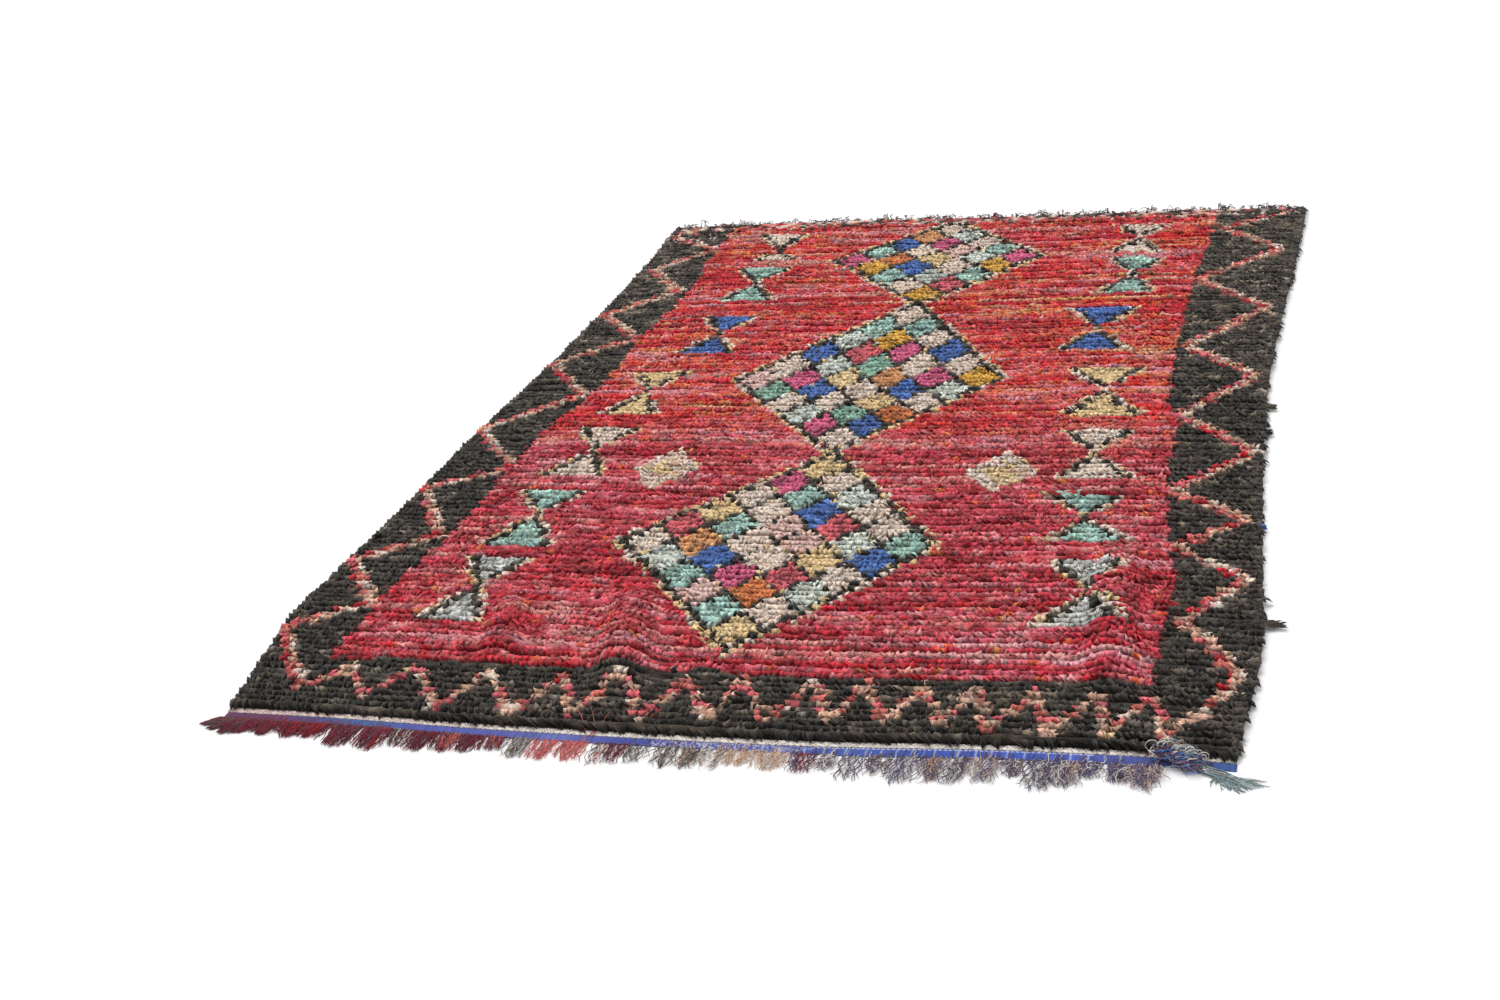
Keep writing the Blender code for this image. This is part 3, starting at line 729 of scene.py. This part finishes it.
def add_locks(name, x, v, colors, turn, size, height, reach, material):
    """Pile strands rooted at the given places; turn is their heading away from straight forward."""
    count = len(x)
    across, back, up = cloth_axes(x, v)
    cosine = np.cos(turn)[:, None]
    sine = np.sin(turn)[:, None]
    forward = across * sine - back * cosine
    side = across * cosine + back * sine
    root = to_frame(x, v, ruck_lift(x, v))
    out = LOCK_OUT * reach[:, None]
    tall = LOCK_HEIGHT * height[:, None]
    sway = jitter(0.0010, count)[:, None] * LOCK_SWAY
    spine = (root[:, None] + forward[:, None] * out[:, :, None] + up[:, None] * tall[:, :, None]
             + side[:, None] * sway[:, :, None])
    tip = (root + forward * (LOCK_TIP[0] * reach)[:, None] + up * (LOCK_TIP[1] * height)[:, None]
           + side * (1.5 * sway[:, -1])[:, None])
    line = unit(np.gradient(spine, axis=1))
    roll = jitter(0.30, count)[:, None, None]
    flat = side[:, None]
    above = np.cross(flat, line)
    wide = np.cos(roll) * flat + np.sin(roll) * above
    deep = np.cos(roll) * above - np.sin(roll) * flat
    half_width = LOCK_HALF_WIDTH * size[:, None] * LOCK_WIDTH
    half_depth = LOCK_HALF_DEPTH * (0.5 + 0.5 * size)[:, None] * LOCK_DEPTH
    # Painted shade along each strand: dark at the root, a painted highlight on top, dark again at the tip
    painted_shades = LOCK_PAINTED_SHADE[:, None] * colors[:, None]
    painted_shades = kept_hue(painted_shades * np.exp(jitter(0.06, (count, 4)))[:, :, None])
    return add_strands(name, spine, wide, deep, half_width, half_depth, tip, painted_shades, material)


def row_drift(shape):
    """How far knots stray along the rug from their straight row, in rows."""
    return 0.12 * row_swing(shape, 8) + 0.36 * row_swing(shape, 34)


def add_pile(material):
    """All knots of the rug, in strips that run from the front to the back."""
    shape = (ROW_COUNT, STRANDS_IN_ROW)
    rows = np.arange(ROW_COUNT)[:, None] + ROOT_PLACE + jitter(0.030, shape) + row_drift(shape)
    rows = np.clip(rows, *ROOT_ROWS)
    shares = (np.arange(STRANDS_IN_ROW) + 0.5) / STRANDS_IN_ROW
    shares = 0.003 + 0.994 * shares + jitter(0.0008 / RUG_WIDTH, shape)
    x, v = cloth_point(shares, rows)
    turn = 0.90 * row_swing(shape, 22) + 0.70 * row_swing(shape, 3) + DICE.normal(LEAN, 0.16, shape)
    turn[0] += 0.30
    edge = np.minimum(1.0, np.minimum(shares, 1.0 - shares) / STRAIGHT_AT_SIDE)
    turn = np.clip(turn, -LEAN_LIMIT, LEAN_LIMIT) * edge
    reach = (1.0 + 0.24 * row_swing(shape, 4) + jitter(0.10, shape)) / np.cos(turn) ** 0.7
    seen_x, seen_v = seen_at(x + 0.5 * LOCK_TIP[0] * reach * np.sin(turn), v - KNOT_FORWARD)
    colors = knot_colors(pattern(seen_x, seen_v), seen_x, seen_v)
    height = 1.0 + 0.20 * row_swing(shape, 5) + jitter(0.055, shape) + lumps(x, v) / PILE_HEIGHT
    height = height + jitter(0.04, (ROW_COUNT, 1))
    height[0] -= 0.12
    height[-3:] *= np.array([[0.90], [0.78], [0.62]])
    reach[0] *= 1.22
    size = 1.0 + 0.30 * row_swing(shape, 3) + jitter(0.10, shape)
    pieces = []
    for k, strip in enumerate(np.array_split(np.arange(STRANDS_IN_ROW), PILE_STRIPS)):
        grids = (x, v, colors, turn, size, height, reach)
        flat = [grid[:, strip].reshape(-1, *grid.shape[2:]) for grid in grids]
        pieces.append(add_locks(f"pile_{k + 1}", *flat, material))
    pieces.append(add_row_ends(x, v, colors, material))
    return pieces, colors


def add_row_ends(x, v, colors, material):
    """Thinner locks that hang out over the two side edges, several to each row."""
    parts = []
    for column, outward in ((0, -1.0), (-1, 1.0)):
        loose = between(0.35, 1.80, ROW_COUNT)
        for copy in range(ROW_END_COPIES):
            place_x = x[:, column] - outward * (0.002 + 0.0022 * copy)
            place_v = v[:, column] + jitter(0.004, ROW_COUNT)
            turn = outward * (1.25 - 0.22 * copy) + jitter(0.25, ROW_COUNT)
            size = between(0.70, 1.10, ROW_COUNT)
            height = DICE.normal(0.70 + 0.07 * copy, 0.08, ROW_COUNT)
            reach = loose * between(0.42, 0.80, ROW_COUNT)
            parts.append((place_x, place_v, colors[:, column], turn, size, height, reach))
    return add_locks("row_ends", *merged(parts), material)


def merged(parts):
    """Rows of arrays joined column by column."""
    return [np.concatenate(part) for part in zip(*parts)]


def grid_quads(count_u, count_v, offset=0):
    """Faces of a grid of points, count_u along the first direction."""
    index = offset + np.arange(count_u * count_v).reshape(count_u, count_v)
    return np.stack([index[:-1, :-1], index[1:, :-1], index[1:, 1:], index[:-1, 1:]], axis=-1).reshape(-1, 4)


def add_slab(name, upper, lower, upper_color, lower_color, material):
    """Closed slab between two grids of points of the same size."""
    count_u, count_v = upper.shape[:2]
    total = count_u * count_v
    index = np.arange(total).reshape(count_u, count_v)
    rim = np.concatenate([index[0, :], index[1:, -1], index[-1, -2::-1], index[-2:0:-1, 0]])
    after = np.roll(rim, -1)
    sides = stacked(rim, rim + total, after + total, after)
    lower_quads = grid_quads(count_u, count_v, total)[:, ::-1]
    quads = np.concatenate([grid_quads(count_u, count_v), lower_quads, sides])
    points, colors = [np.concatenate([above.reshape(-1, 3), below.reshape(-1, 3)])
                      for above, below in ((upper, lower), (upper_color, lower_color))]
    piece = add_mesh(name, points, quads, np.zeros((0, 3), int), colors, None, material)
    for face in piece.data.polygons[-len(sides):]:
        face.use_smooth = False
    return piece


def add_strip(name, x, v, top, bottom, color, material):
    """Slab of an end weave or band, with painted shade that makes it a little darker below."""
    return add_slab(name, to_frame(x, v, top), to_frame(x, v, bottom), color, color * 0.8, material)


# Profile of one row of feet: place within the row from its crease, height, painted shade (dark in the crease
# and at the front lip, lighter on top)
ROLL_PROFILE = np.array([(0.02, 0.0058, 0.08), (0.30, 0.0130, 0.78), (0.66, 0.0142, 0.80),
                         (0.93, 0.0090, 0.16)])
ROLL_DRIFT = 0.4
ROLL_MARGIN = 0.03
ROLL_UNDER = BACKING_TOP - 0.0012
ROLL_STATIONS = 120
ROLL_UNDER_STEP = 7


def add_rolls(knots, material):
    """Feet of the knots, one rolled ridge to a row, closed below, with painted shade that darkens the
    creases between rows.
    """
    points = len(ROLL_PROFILE)
    places = (np.arange(ROW_COUNT)[:, None] + ROLL_PROFILE[:, 0]).ravel()
    columns = np.linspace(0, STRANDS_IN_ROW - 1, ROLL_STATIONS).astype(int)
    drift = np.repeat(row_drift((ROW_COUNT, ROLL_STATIONS)), points, axis=0)
    rows = np.clip(places[:, None] + ROLL_DRIFT * drift, ROLL_MARGIN, ROW_COUNT - ROLL_MARGIN)
    rows = np.maximum.accumulate(rows, axis=0).T
    shares = np.linspace(0.002, 0.998, ROLL_STATIONS)[:, None] + np.zeros(rows.shape)
    x, v = cloth_point(shares, rows)
    lift = ruck_lift(x, v)
    rise = np.tile(ROLL_PROFILE[:, 1], ROW_COUNT) * DICE.normal(1.0, 0.07, x.shape)
    upper = to_frame(x, v, lift + rise)
    # Painted shade across each row from the profile, times the colours of the knots above
    shade = np.tile(ROLL_PROFILE[:, 2], ROW_COUNT)[:, None]
    color = shade * np.repeat(knots[:, columns], points, axis=0).transpose(1, 0, 2)
    under = to_frame(x, v, lift + ROLL_UNDER)[::ROLL_UNDER_STEP]
    return add_ridged(upper, under, color, material)


def add_ridged(upper, under, color, material):
    """Closed piece between a fine upper grid and an under grid with fewer stations."""
    count_u, count_v = upper.shape[:2]
    fewer = under.shape[0]
    top = np.arange(count_u * count_v).reshape(count_u, count_v)
    low = count_u * count_v + np.arange(fewer * count_v).reshape(fewer, count_v)
    quads = [grid_quads(count_u, count_v), grid_quads(fewer, count_v, count_u * count_v)[:, ::-1]]
    for side, flip in ((0, 1), (-1, -1)):
        rim = stacked(top[side, :-1], top[side, 1:], low[side, 1:], low[side, :-1])
        quads.append(rim[:, ::flip])
    tris = []
    for end, flip in ((0, -1), (-1, 1)):
        for k in range(fewer - 1):
            first = k * ROLL_UNDER_STEP
            for j in range(ROLL_UNDER_STEP):
                tris.append([top[first + j, end], top[first + j + 1, end], low[k, end]][::flip])
            tris.append([top[first + ROLL_UNDER_STEP, end], low[k + 1, end], low[k, end]][::flip])
    points = np.concatenate([upper.reshape(-1, 3), under.reshape(-1, 3)])
    # The under grid has painted shade: half the colour of the ridge above it
    colors = np.concatenate([color.reshape(-1, 3), 0.5 * color[::ROLL_UNDER_STEP].reshape(-1, 3)])
    return add_mesh("row_feet", points, np.concatenate(quads), np.array(tris), colors, None, material)


def add_backing(material):
    """Woven ground that carries the knots, with painted shade on its top and the pattern showing faintly on
    its underside.
    """
    rows = np.linspace(0.05, ROW_COUNT - 0.05, 90)
    shares = np.linspace(0.002, 0.998, 60)
    row_grid, share_grid = np.meshgrid(rows, shares)
    x, v = cloth_point(share_grid, row_grid)
    seen_x, seen_v = seen_at(x, v)
    color = knot_colors(pattern(seen_x, seen_v), seen_x, seen_v)
    lift = ruck_lift(x, v)
    upper = to_frame(x, v, lift + BACKING_TOP)
    lower = to_frame(x, v, lift + BACKING_BOTTOM)
    ground = linear((170, 150, 125))
    # The top, seen only in the gaps between strands, has painted shade: 0.30 of the knot colours
    return add_slab("backing", upper, lower, 0.30 * color, 0.62 * color + 0.25 * ground, material)


def add_end_weave(name, edge_at, outward, width, end_v, stitches, material):
    """Cream flat weave beyond the last knot row: short raised stitches in two staggered lines."""
    x = np.linspace(left_at(end_v) + 0.002, right_at(end_v) - 0.002, stitches)
    lines = np.array([-0.45, 0.02, 0.28, 0.52, 0.76, 0.99])
    share, x_grid = np.meshgrid(lines, x)
    v = edge_at(x_grid) + outward * width * share
    step = np.arange(stitches)[:, None] + np.arange(len(lines))
    relief = np.where(step % 2 == 0, 0.0006, -0.0006) * (share > 0.0) * (share < 0.95)
    top = 0.0034 - 0.0012 * (share > 0.9) + relief
    pink = np.clip(1.0 - x_grid / 0.55, 0.0, 1.0)[..., None]
    cream = linear((238, 230, 220))
    base = cream + pink * (linear((226, 196, 192)) - cream)
    dots = (step % 3 == 0) & chance(0.75, share.shape)
    tint = np.where(dots[..., None], np.array([0.26, 0.20, 0.20]), 1.0)
    color = base * tint * np.exp(jitter(0.10, share.shape))[..., None]
    return add_strip(name, x_grid, v, top, 0.0008, color, material)


# Colours of the front band by place: x, red, green, blue
BAND_DYES = np.array([
    (0.00, 92, 50, 96), (0.08, 98, 52, 98), (0.17, 62, 74, 134), (0.25, 52, 104, 162), (0.32, 74, 84, 160),
    (0.50, 86, 92, 168), (0.58, 96, 108, 176), (0.70, 66, 74, 156), (0.84, 80, 88, 166), (1.02, 70, 92, 168),
    (1.16, 52, 80, 168), (1.34, 62, 86, 176), (1.44, 74, 84, 158), (1.60, 54, 84, 146),
])


def band_inner(x):
    """Inner line of the front band."""
    return front_at(x) - (END_WEAVE_WIDTH + BAND_GAP)


def band_width(x):
    """Width of the front band, wider at the right."""
    wider = soft_step(x, 0.92, 0.20) * (1.0 - soft_step(x, 1.46, 0.06))
    return FRONT_BAND_WIDTH + FRONT_BAND_WIDENING * wider


def add_front_band(material):
    """Blue woven band with pale threads that cross it at the right."""
    stations = 640
    lines = np.linspace(0.0, 1.0, 8)
    share, x = np.meshgrid(lines, np.linspace(-0.006, 1.600, stations))
    crown = np.sin(np.pi * share) ** 0.5
    step = np.arange(stations)[:, None] + np.arange(len(lines))
    relief = np.where(step % 2 == 0, 0.0002, -0.0002) * (crown > 0.1)
    color = linear(stacked(*[np.interp(x, BAND_DYES[:, 0], BAND_DYES[:, k]) for k in (1, 2, 3)]))
    wine = (x < 0.30) & (share > 0.25) & chance(0.45 * share, share.shape)
    color = np.where(wine[..., None], linear(YARNS["F"]), color)
    bar = np.abs((x * 1000.0 + 6.0 * np.sin(40.0 * x)) % 27.0 - 13.0) < 1.6
    bar = bar & (x > 0.96) & (x < 1.46)
    hairs = (x > 0.74) & (x < 0.99) & chance(0.36, share.shape)
    seam = (share > 0.05) & (share < 0.25) & (x > 0.99) & (x < 1.40) & (step % 3 > 0)
    for where, kept, pale in ((bar, 0.35, (176, 186, 220)), (hairs, 0.35, (205, 196, 190)),
                              (seam, 0.2, (228, 228, 236))):
        color = np.where(where[..., None], kept * color + (1.0 - kept) * linear(pale), color)
    color = color * np.exp(jitter(0.12, (stations, 1, 1)))
    color = color * np.exp(jitter(0.10, share.shape))[..., None]
    top = 0.0016 + 0.0014 * crown + relief
    return add_strip("front_band", x, band_inner(x) - band_width(x) * share, top, 0.0002, color, material)


def add_back_band(material):
    """Narrow band of warp ends behind the rug."""
    share, x = np.meshgrid(np.linspace(0.0, 1.0, 4), np.linspace(*BACK_BAND_ENDS, 400))
    v = back_at(x) + (BACK_WEAVE_WIDTH + BAND_GAP) + BACK_BAND_WIDTH * share
    top = 0.0026 + jitter(0.0003, share.shape)
    color = varied(YARN_LINEAR[pick("NVDc", (40, 30, 15, 15), share.shape)], 0.09)
    return add_strip("back_band", x, v, top, 0.0003, color, material)


def add_threads(name, paths, radius, numbers, material):
    """Loose wool threads along given paths of points."""
    line = unit(np.gradient(paths, axis=1))
    across = np.cross(line, np.array([0.0, 0.0, 1.0]))
    length = np.linalg.norm(across, axis=-1, keepdims=True)
    across = np.where(length > 0.05, unit(across), np.array([1.0, 0.0, 0.0]))
    normal = np.cross(across, line)[:, :-1]
    thick = radius[:, None] * np.linspace(1.0, 0.8, paths.shape[1] - 1)
    colors = varied(YARN_LINEAR[numbers], 0.16)[:, None]
    colors = colors * np.exp(jitter(0.10, paths.shape[:2]))[:, :, None]
    body = paths[:, :-1]
    return add_strands(name, body, across[:, :-1], normal, thick, thick, paths[:, -1], colors, material)


def wandering(starts, ends, rings, curl, low, high, arch):
    """Paths from start to end points on the floor, with curls that grow away from the start."""
    column = (len(starts), 1)
    share = np.linspace(0.0, 1.0, rings)
    start_x, start_v, start_z = starts.T[:, :, None]
    run_x, run_v = (ends - starts[:, :2]).T[:, :, None]
    heading = np.arctan2(run_v, run_x)
    curl = curl[:, None]
    beat = between(1.2, 3.0, column) * np.where(chance(0.5, column), -1.0, 1.0)
    angle = between(0.0, 2.0 * np.pi, column) + 2.0 * np.pi * beat * share
    grown = curl * np.minimum(1.0, 2.5 * share)
    stray = np.cumsum(jitter(0.20, (len(starts), rings)) * curl, axis=1)
    across = grown * np.sin(angle) + stray * share
    along = grown * np.cos(angle) * np.clip((curl - 0.0020) / 0.0030, 0.0, 1.0)
    x = start_x + share * run_x - np.sin(heading) * across + np.cos(heading) * along
    v = start_v + share * run_v + np.cos(heading) * across + np.sin(heading) * along
    level = between(low, high, column)
    z = level + (start_z - level) * (1.0 - soft_step(share, 0.0, 0.45))
    z = z + arch[:, None] * np.sin(np.pi * share) * between(0.3, 1.0, column)
    return to_frame(x, v, z)


def add_front_fringe(material):
    """Gathered threads in front of the band: short ones fill the space between the clumps."""
    tips = [clump.tip_x for clump in FRONT_CLUMPS]
    bounds = np.array([FRINGE_FROM] + [0.5 * (a + b) for a, b in zip(tips, tips[1:])] + [FRINGE_TO])
    bounds = np.maximum(bounds, FRINGE_FROM + 0.020 * np.arange(len(bounds)))
    parts = []
    for k, clump in enumerate(FRONT_CLUMPS):
        count = int(FRINGE_FULLNESS * clump.threads)
        x = between(bounds[k], bounds[k + 1], count)
        crosses = chance(0.20 * (clump.tip_x > 0.70), count)
        over = np.where(crosses, between(0.004, 0.016, count), 0.0)
        v = band_inner(x) - band_width(x) + between(0.0, 0.003, count) + over
        level = between(0.0012, 0.0030, count) + 0.25 * np.minimum(over, 0.006)
        curly = min(1.0, max(0.0, clump.curl - 0.0030) / 0.0020)
        full = chance(0.45 + 0.20 * curly, count)
        gather = np.where(full, between(0.20, 0.65, count), between(0.8, 1.1, count)) + 0.20 * curly
        long = np.where(full, between(0.80, 1.0, count), between(0.50, 0.92, count))
        long = long * (1.0 + 0.14 * curly)
        end_x = clump.tip_x + (x - clump.tip_x) * gather + jitter(0.0030, count)
        ends = stacked(end_x, v + (clump.tip_v - v) * long)
        numbers = pick(clump.yarns, [1] * len(clump.yarns), count)
        curls = clump.curl * between(0.4, 1.2, count)
        parts.append((stacked(x, v, level), ends, numbers, curls))
    starts, ends, numbers, curls = merged(parts)
    arch = 0.0020 + 0.0040 * (curls > 0.0035)
    paths = wandering(starts, ends, 10, curls, 0.0009, 0.0036, arch)
    radius = between(0.00060, 0.00090, len(starts)) * (1.0 + 0.35 * (starts[:, 0] < 0.50))
    return add_threads("front_threads", paths, radius, numbers, material)


def add_back_curls(material):
    """Short curls of dark red, purple and grey wool behind the pile."""
    count = BACK_CURLS
    x = between(*BACK_BAND_ENDS, count)
    tufts = np.sin(47.0 * x) + np.sin(113.0 * x + 1.0)
    v = back_at(x) + between(-0.012, 0.012, count)
    start_z = np.where(v < back_at(x), 0.009, 0.004) + between(0.0, 0.003, count)
    end_v = v + between(0.006, 0.020, count)
    ends = stacked(x + jitter(0.012, count), end_v)
    numbers = pick("VNnDGkU", (22, 26, 18, 10, 14, 4, 6), count)
    arch = between(0.004, 0.015, count) * (1.0 + 0.35 * tufts)
    curls = between(0.0020, 0.0050, count)
    paths = wandering(stacked(x, v, start_z), ends, 7, curls, 0.003, 0.009, arch)
    return add_threads("back_threads", paths, between(0.0008, 0.0014, count), numbers, material)


def tassel_middle(share):
    """Point of the tassel's path at a share of its length."""
    path = np.array(TASSEL_PATH)
    gaps = np.hypot(np.diff(path[:, 0]), np.diff(path[:, 1]))
    along = np.concatenate([[0.0], np.cumsum(gaps)]) / gaps.sum()
    return [np.interp(share, along, path[:, k]) for k in range(3)]


def tassel_core(count):
    """Short tangled threads that make the thick part of the tassel."""
    column = (count, 1)
    start_share = between(0.0, 0.56, column)
    start = tassel_middle(start_share)
    end = tassel_middle(start_share + between(0.02, 0.20, column))
    side = jitter(1.0, (count, 2)) * np.array([0.0100, 0.0085])
    share = np.linspace(0.0, 1.0, 11)
    angle = between(0.0, 6.3, column) + between(4.0, 9.0, column) * share
    size = between(0.0020, 0.0066, column)
    x = start[0] + side[:, :1] + share * (end[0] - start[0]) + size * np.cos(angle)
    v = start[1] + side[:, 1:] + share * (end[1] - start[1]) + size * np.sin(angle)
    z = start[2] + share * (end[2] - start[2]) + between(-0.0030, 0.0030, column)
    return to_frame(x, v, np.maximum(z + 0.8 * size * np.sin(1.3 * angle + 1.0), 0.0010))


def tassel_fan(count):
    """Thin threads that leave the thick part and spread on the floor."""
    column = (count, 1)
    tips = np.array(TASSEL_TIPS)[DICE.integers(0, len(TASSEL_TIPS), count)]
    share = np.linspace(0.0, 1.0, 13)
    lead = between(0.42, 0.66, column)
    middle = tassel_middle(lead + (0.97 - lead) * np.minimum(share / 0.6, 1.0))
    free = soft_step(share, 0.42, 0.58)
    tip_x = tips[:, :1] + jitter(0.0040, column)
    tip_v = tips[:, 1:] + jitter(0.0030, column)
    side = jitter(0.0042, column)
    wave = 0.0016 * np.sin(between(0.0, 6.3, column) + between(8.0, 16.0, column) * share)
    x = middle[0] + 0.7 * side + free * (tip_x - middle[0]) + wave
    v = middle[1] + 0.7 * side + free * (tip_v - middle[1]) + wave
    z = middle[2] + (1.0 - free) * between(-0.001, 0.003, column) - free * (middle[2] - 0.0015)
    return to_frame(x, v, np.maximum(z, 0.0010))


def tassel_loops(count):
    """Open loops that stand above the pile edge at the start of the tassel."""
    column = (count, 1)
    turned = np.linspace(0.0, 1.0, 13) * between(3.0, 5.8, column)
    angle = between(0.0, 6.3, column) + turned
    size = between(0.0040, 0.0085, column)
    middle = tassel_middle(between(0.0, 0.50, column))
    x = middle[0] + DICE.normal(0.008, 0.008, column) + size * np.cos(angle)
    v = middle[1] + DICE.normal(0.006, 0.005, column) + 0.4 * size * np.sin(angle + 1.0)
    z = middle[2] + 0.4 * size + 0.8 * size * np.sin(angle) + between(0.0, 0.002, column)
    return to_frame(x, v, z)


def add_tassel(material):
    """Blue-grey corner tassel: tangled core, thin fan and a few loops where it leaves the pile."""
    groups = [("tassel_core", tassel_core(250), 0.0008, "UVbhWF", (30, 22, 28, 8, 9, 3)),
              ("tassel_fan", tassel_fan(64), 0.0007, "hwtG", (55, 20, 10, 15)),
              ("tassel_loops", tassel_loops(70), 0.0009, "whWG", (30, 34, 26, 10))]
    pieces = []
    for name, paths, radius, letters, weights in groups:
        sizes = radius * between(0.8, 1.3, len(paths))
        pieces.append(add_threads(name, paths, sizes, pick(letters, weights, len(paths)), material))
    return pieces


# Stray threads in millimetres: salmon ones point by point, pale ones by their foot and shared points
SALMON_THREADS = [
    [(632, -44, 2.0), (628, -26, 4.6), (622, -12, 6.4), (612, 4, 20.8), (598, 18, 22.6)],
    [(622, -44, 2.0), (636, -26, 4.6), (640, -12, 6.4), (632, 4, 20.8), (618, 30, 22.8)],
    [(640, -46, 2.0), (640, -26, 4.6), (646, -12, 6.4), (654, 6, 20.8), (660, 16, 22.4)],
]
PALE_FEET = [(522, 75), (590, 150), (262, 196), (1150, 205), (486, 205)]
PALE_POINTS = [(0, 0, 17.0), (2, 3, 22.0), (6, 4, 26.0), (10, 8, 27.0), (11, 15, 26.5)]


def add_loose_threads(material):
    """Stray threads: salmon ones over the front border, short pale ones standing out of the pile."""
    pale = [[(x + right, v + back, z) for right, back, z in PALE_POINTS] for x, v in PALE_FEET]
    knots = np.array(SALMON_THREADS + pale) / 1000.0
    share = np.linspace(0.0, 4.0, 9)
    x, v, z = [np.array([np.interp(share, np.arange(5), knot[:, k]) for knot in knots]) for k in range(3)]
    numbers = np.array([yarn("s")] * len(SALMON_THREADS) + [yarn("w")] * len(pale))
    paths = to_frame(x, v, z + ruck_lift(x, v))
    return add_threads("loose_threads", paths, np.full(len(paths), 0.0007), numbers, material)


def add_side_tufts(material):
    """Loose locks that stick out of the right edge."""
    count = 26
    parts = []
    for v, reach, letter in ((1.21, 0.020, "N"), (1.09, 0.014, "n"), (0.37, 0.034, "N"), (0.70, 0.006, "b")):
        edge = float(right_at(v))
        spread = 0.006 if reach > 0.01 else 0.003
        start_v = v + jitter(spread, count)
        starts = stacked(edge - 0.006, start_v, between(0.008, 0.015, count))
        end_v = v + jitter(spread * 0.7, count)
        ends = stacked(edge + reach * between(0.6, 1.05, count), end_v)
        parts.append((starts, ends, np.full(count, yarn(letter))))
    starts, ends, numbers = merged(parts)
    curl, arch, radius = [np.full(len(starts), value) for value in (0.0018, 0.0015, 0.0012)]
    paths = wandering(starts, ends, 7, curl, 0.004, 0.011, arch)
    return add_threads("side_tufts", paths, radius, numbers, material)


def add_floor():
    """Plain pale floor."""
    mesh = bpy.data.meshes.new("floor")
    corners = [(x * FLOOR_REACH, y * FLOOR_REACH, 0.0) for x, y in ((-1, -1), (1, -1), (1, 1), (-1, 1))]
    mesh.from_pydata(corners, [], [(0, 1, 2, 3)])
    surface = {"Base Color": (0.90, 0.90, 0.90, 1.0), "Roughness": 0.9, "Specular IOR Level": 0.1}
    mesh.materials.append(new_material("floor_white", surface)[0])
    floor = add_object("floor", mesh)


def add_sky_light(name, place, power, softness):
    """Distant soft light that shines from the given side towards the rug."""
    data = bpy.data.lights.new(name, "SUN")
    data.energy = power
    data.angle = math.radians(softness)
    light = add_object(name, data)
    light.location = place
    turn = math.atan2(-place[1], -place[0])
    tilt = math.atan2(math.hypot(place[0], place[1]), place[2])
    light.rotation_euler = (tilt, 0.0, turn - math.pi / 2.0)


def add_light_and_camera():
    """Soft studio light and the photograph's view."""
    scene = bpy.context.scene
    world = bpy.data.worlds.new("studio")
    world.use_nodes = True
    sky = {"Color": (1.0, 1.0, 1.0, 1.0), "Strength": 0.62}
    feed(world.node_tree, world.node_tree.nodes["Background"], sky)
    scene.world = world
    add_sky_light("key", (-1.4, 1.3, 3.6), 1.8, 40.0)
    add_sky_light("fill", (2.4, -3.0, 3.6), 0.5, 50.0)
    scene.view_settings.view_transform = "Standard"
    data = bpy.data.cameras.new("camera")
    data.lens = CAMERA_LENS
    data.sensor_width = SENSOR_WIDTH
    camera = add_object("camera", data)
    camera.location = (CAMERA_X - FRAME_MIDDLE_X, CAMERA_V - FRAME_MIDDLE_V, CAMERA_HEIGHT)
    camera.rotation_euler = [math.radians(angle) for angle in CAMERA_TURN]
    scene.camera = camera


def build():
    """Makes the whole dressed rug and its stage."""
    add_light_and_camera()
    add_floor()
    pile_wool = wool_material("pile_wool", (620.0, 110.0, 1.0), 0.55, 0.12)
    thread_wool = wool_material("thread_wool", (260.0, 260.0, 1.0), 0.35, 0.15)
    ground_weave = weave_material("ground_weave", 0.004, 0.6)
    band_weave = weave_material("band_weave", 0.0016, 0.5)
    feet_wool = wool_material("feet_wool", (160.0, 520.0, 300.0), 0.6, 0.10, False)
    pile, knots = add_pile(pile_wool)
    pile.append(add_rolls(knots, feet_wool))
    backing = add_backing(ground_weave)
    front_weave = add_end_weave("front_weave", front_at, -1.0, END_WEAVE_WIDTH, 0.0, 500, band_weave)
    back_weave = add_end_weave("back_weave", back_at, 1.0, BACK_WEAVE_WIDTH, RUG_LENGTH, 240, band_weave)
    side_tufts = add_side_tufts(thread_wool)
    loose = add_loose_threads(thread_wool)
    for piece in pile + [backing, front_weave, back_weave, side_tufts, loose]:
        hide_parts("rug")
    front = [add_front_band(band_weave), add_front_fringe(thread_wool)]
    for piece in front:
        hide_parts("front_fringe")
    back = [add_back_band(band_weave), add_back_curls(thread_wool)]
    for piece in back:
        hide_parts("back_fringe")
    for piece in add_tassel(thread_wool):
        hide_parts("corner_tassel")


build()
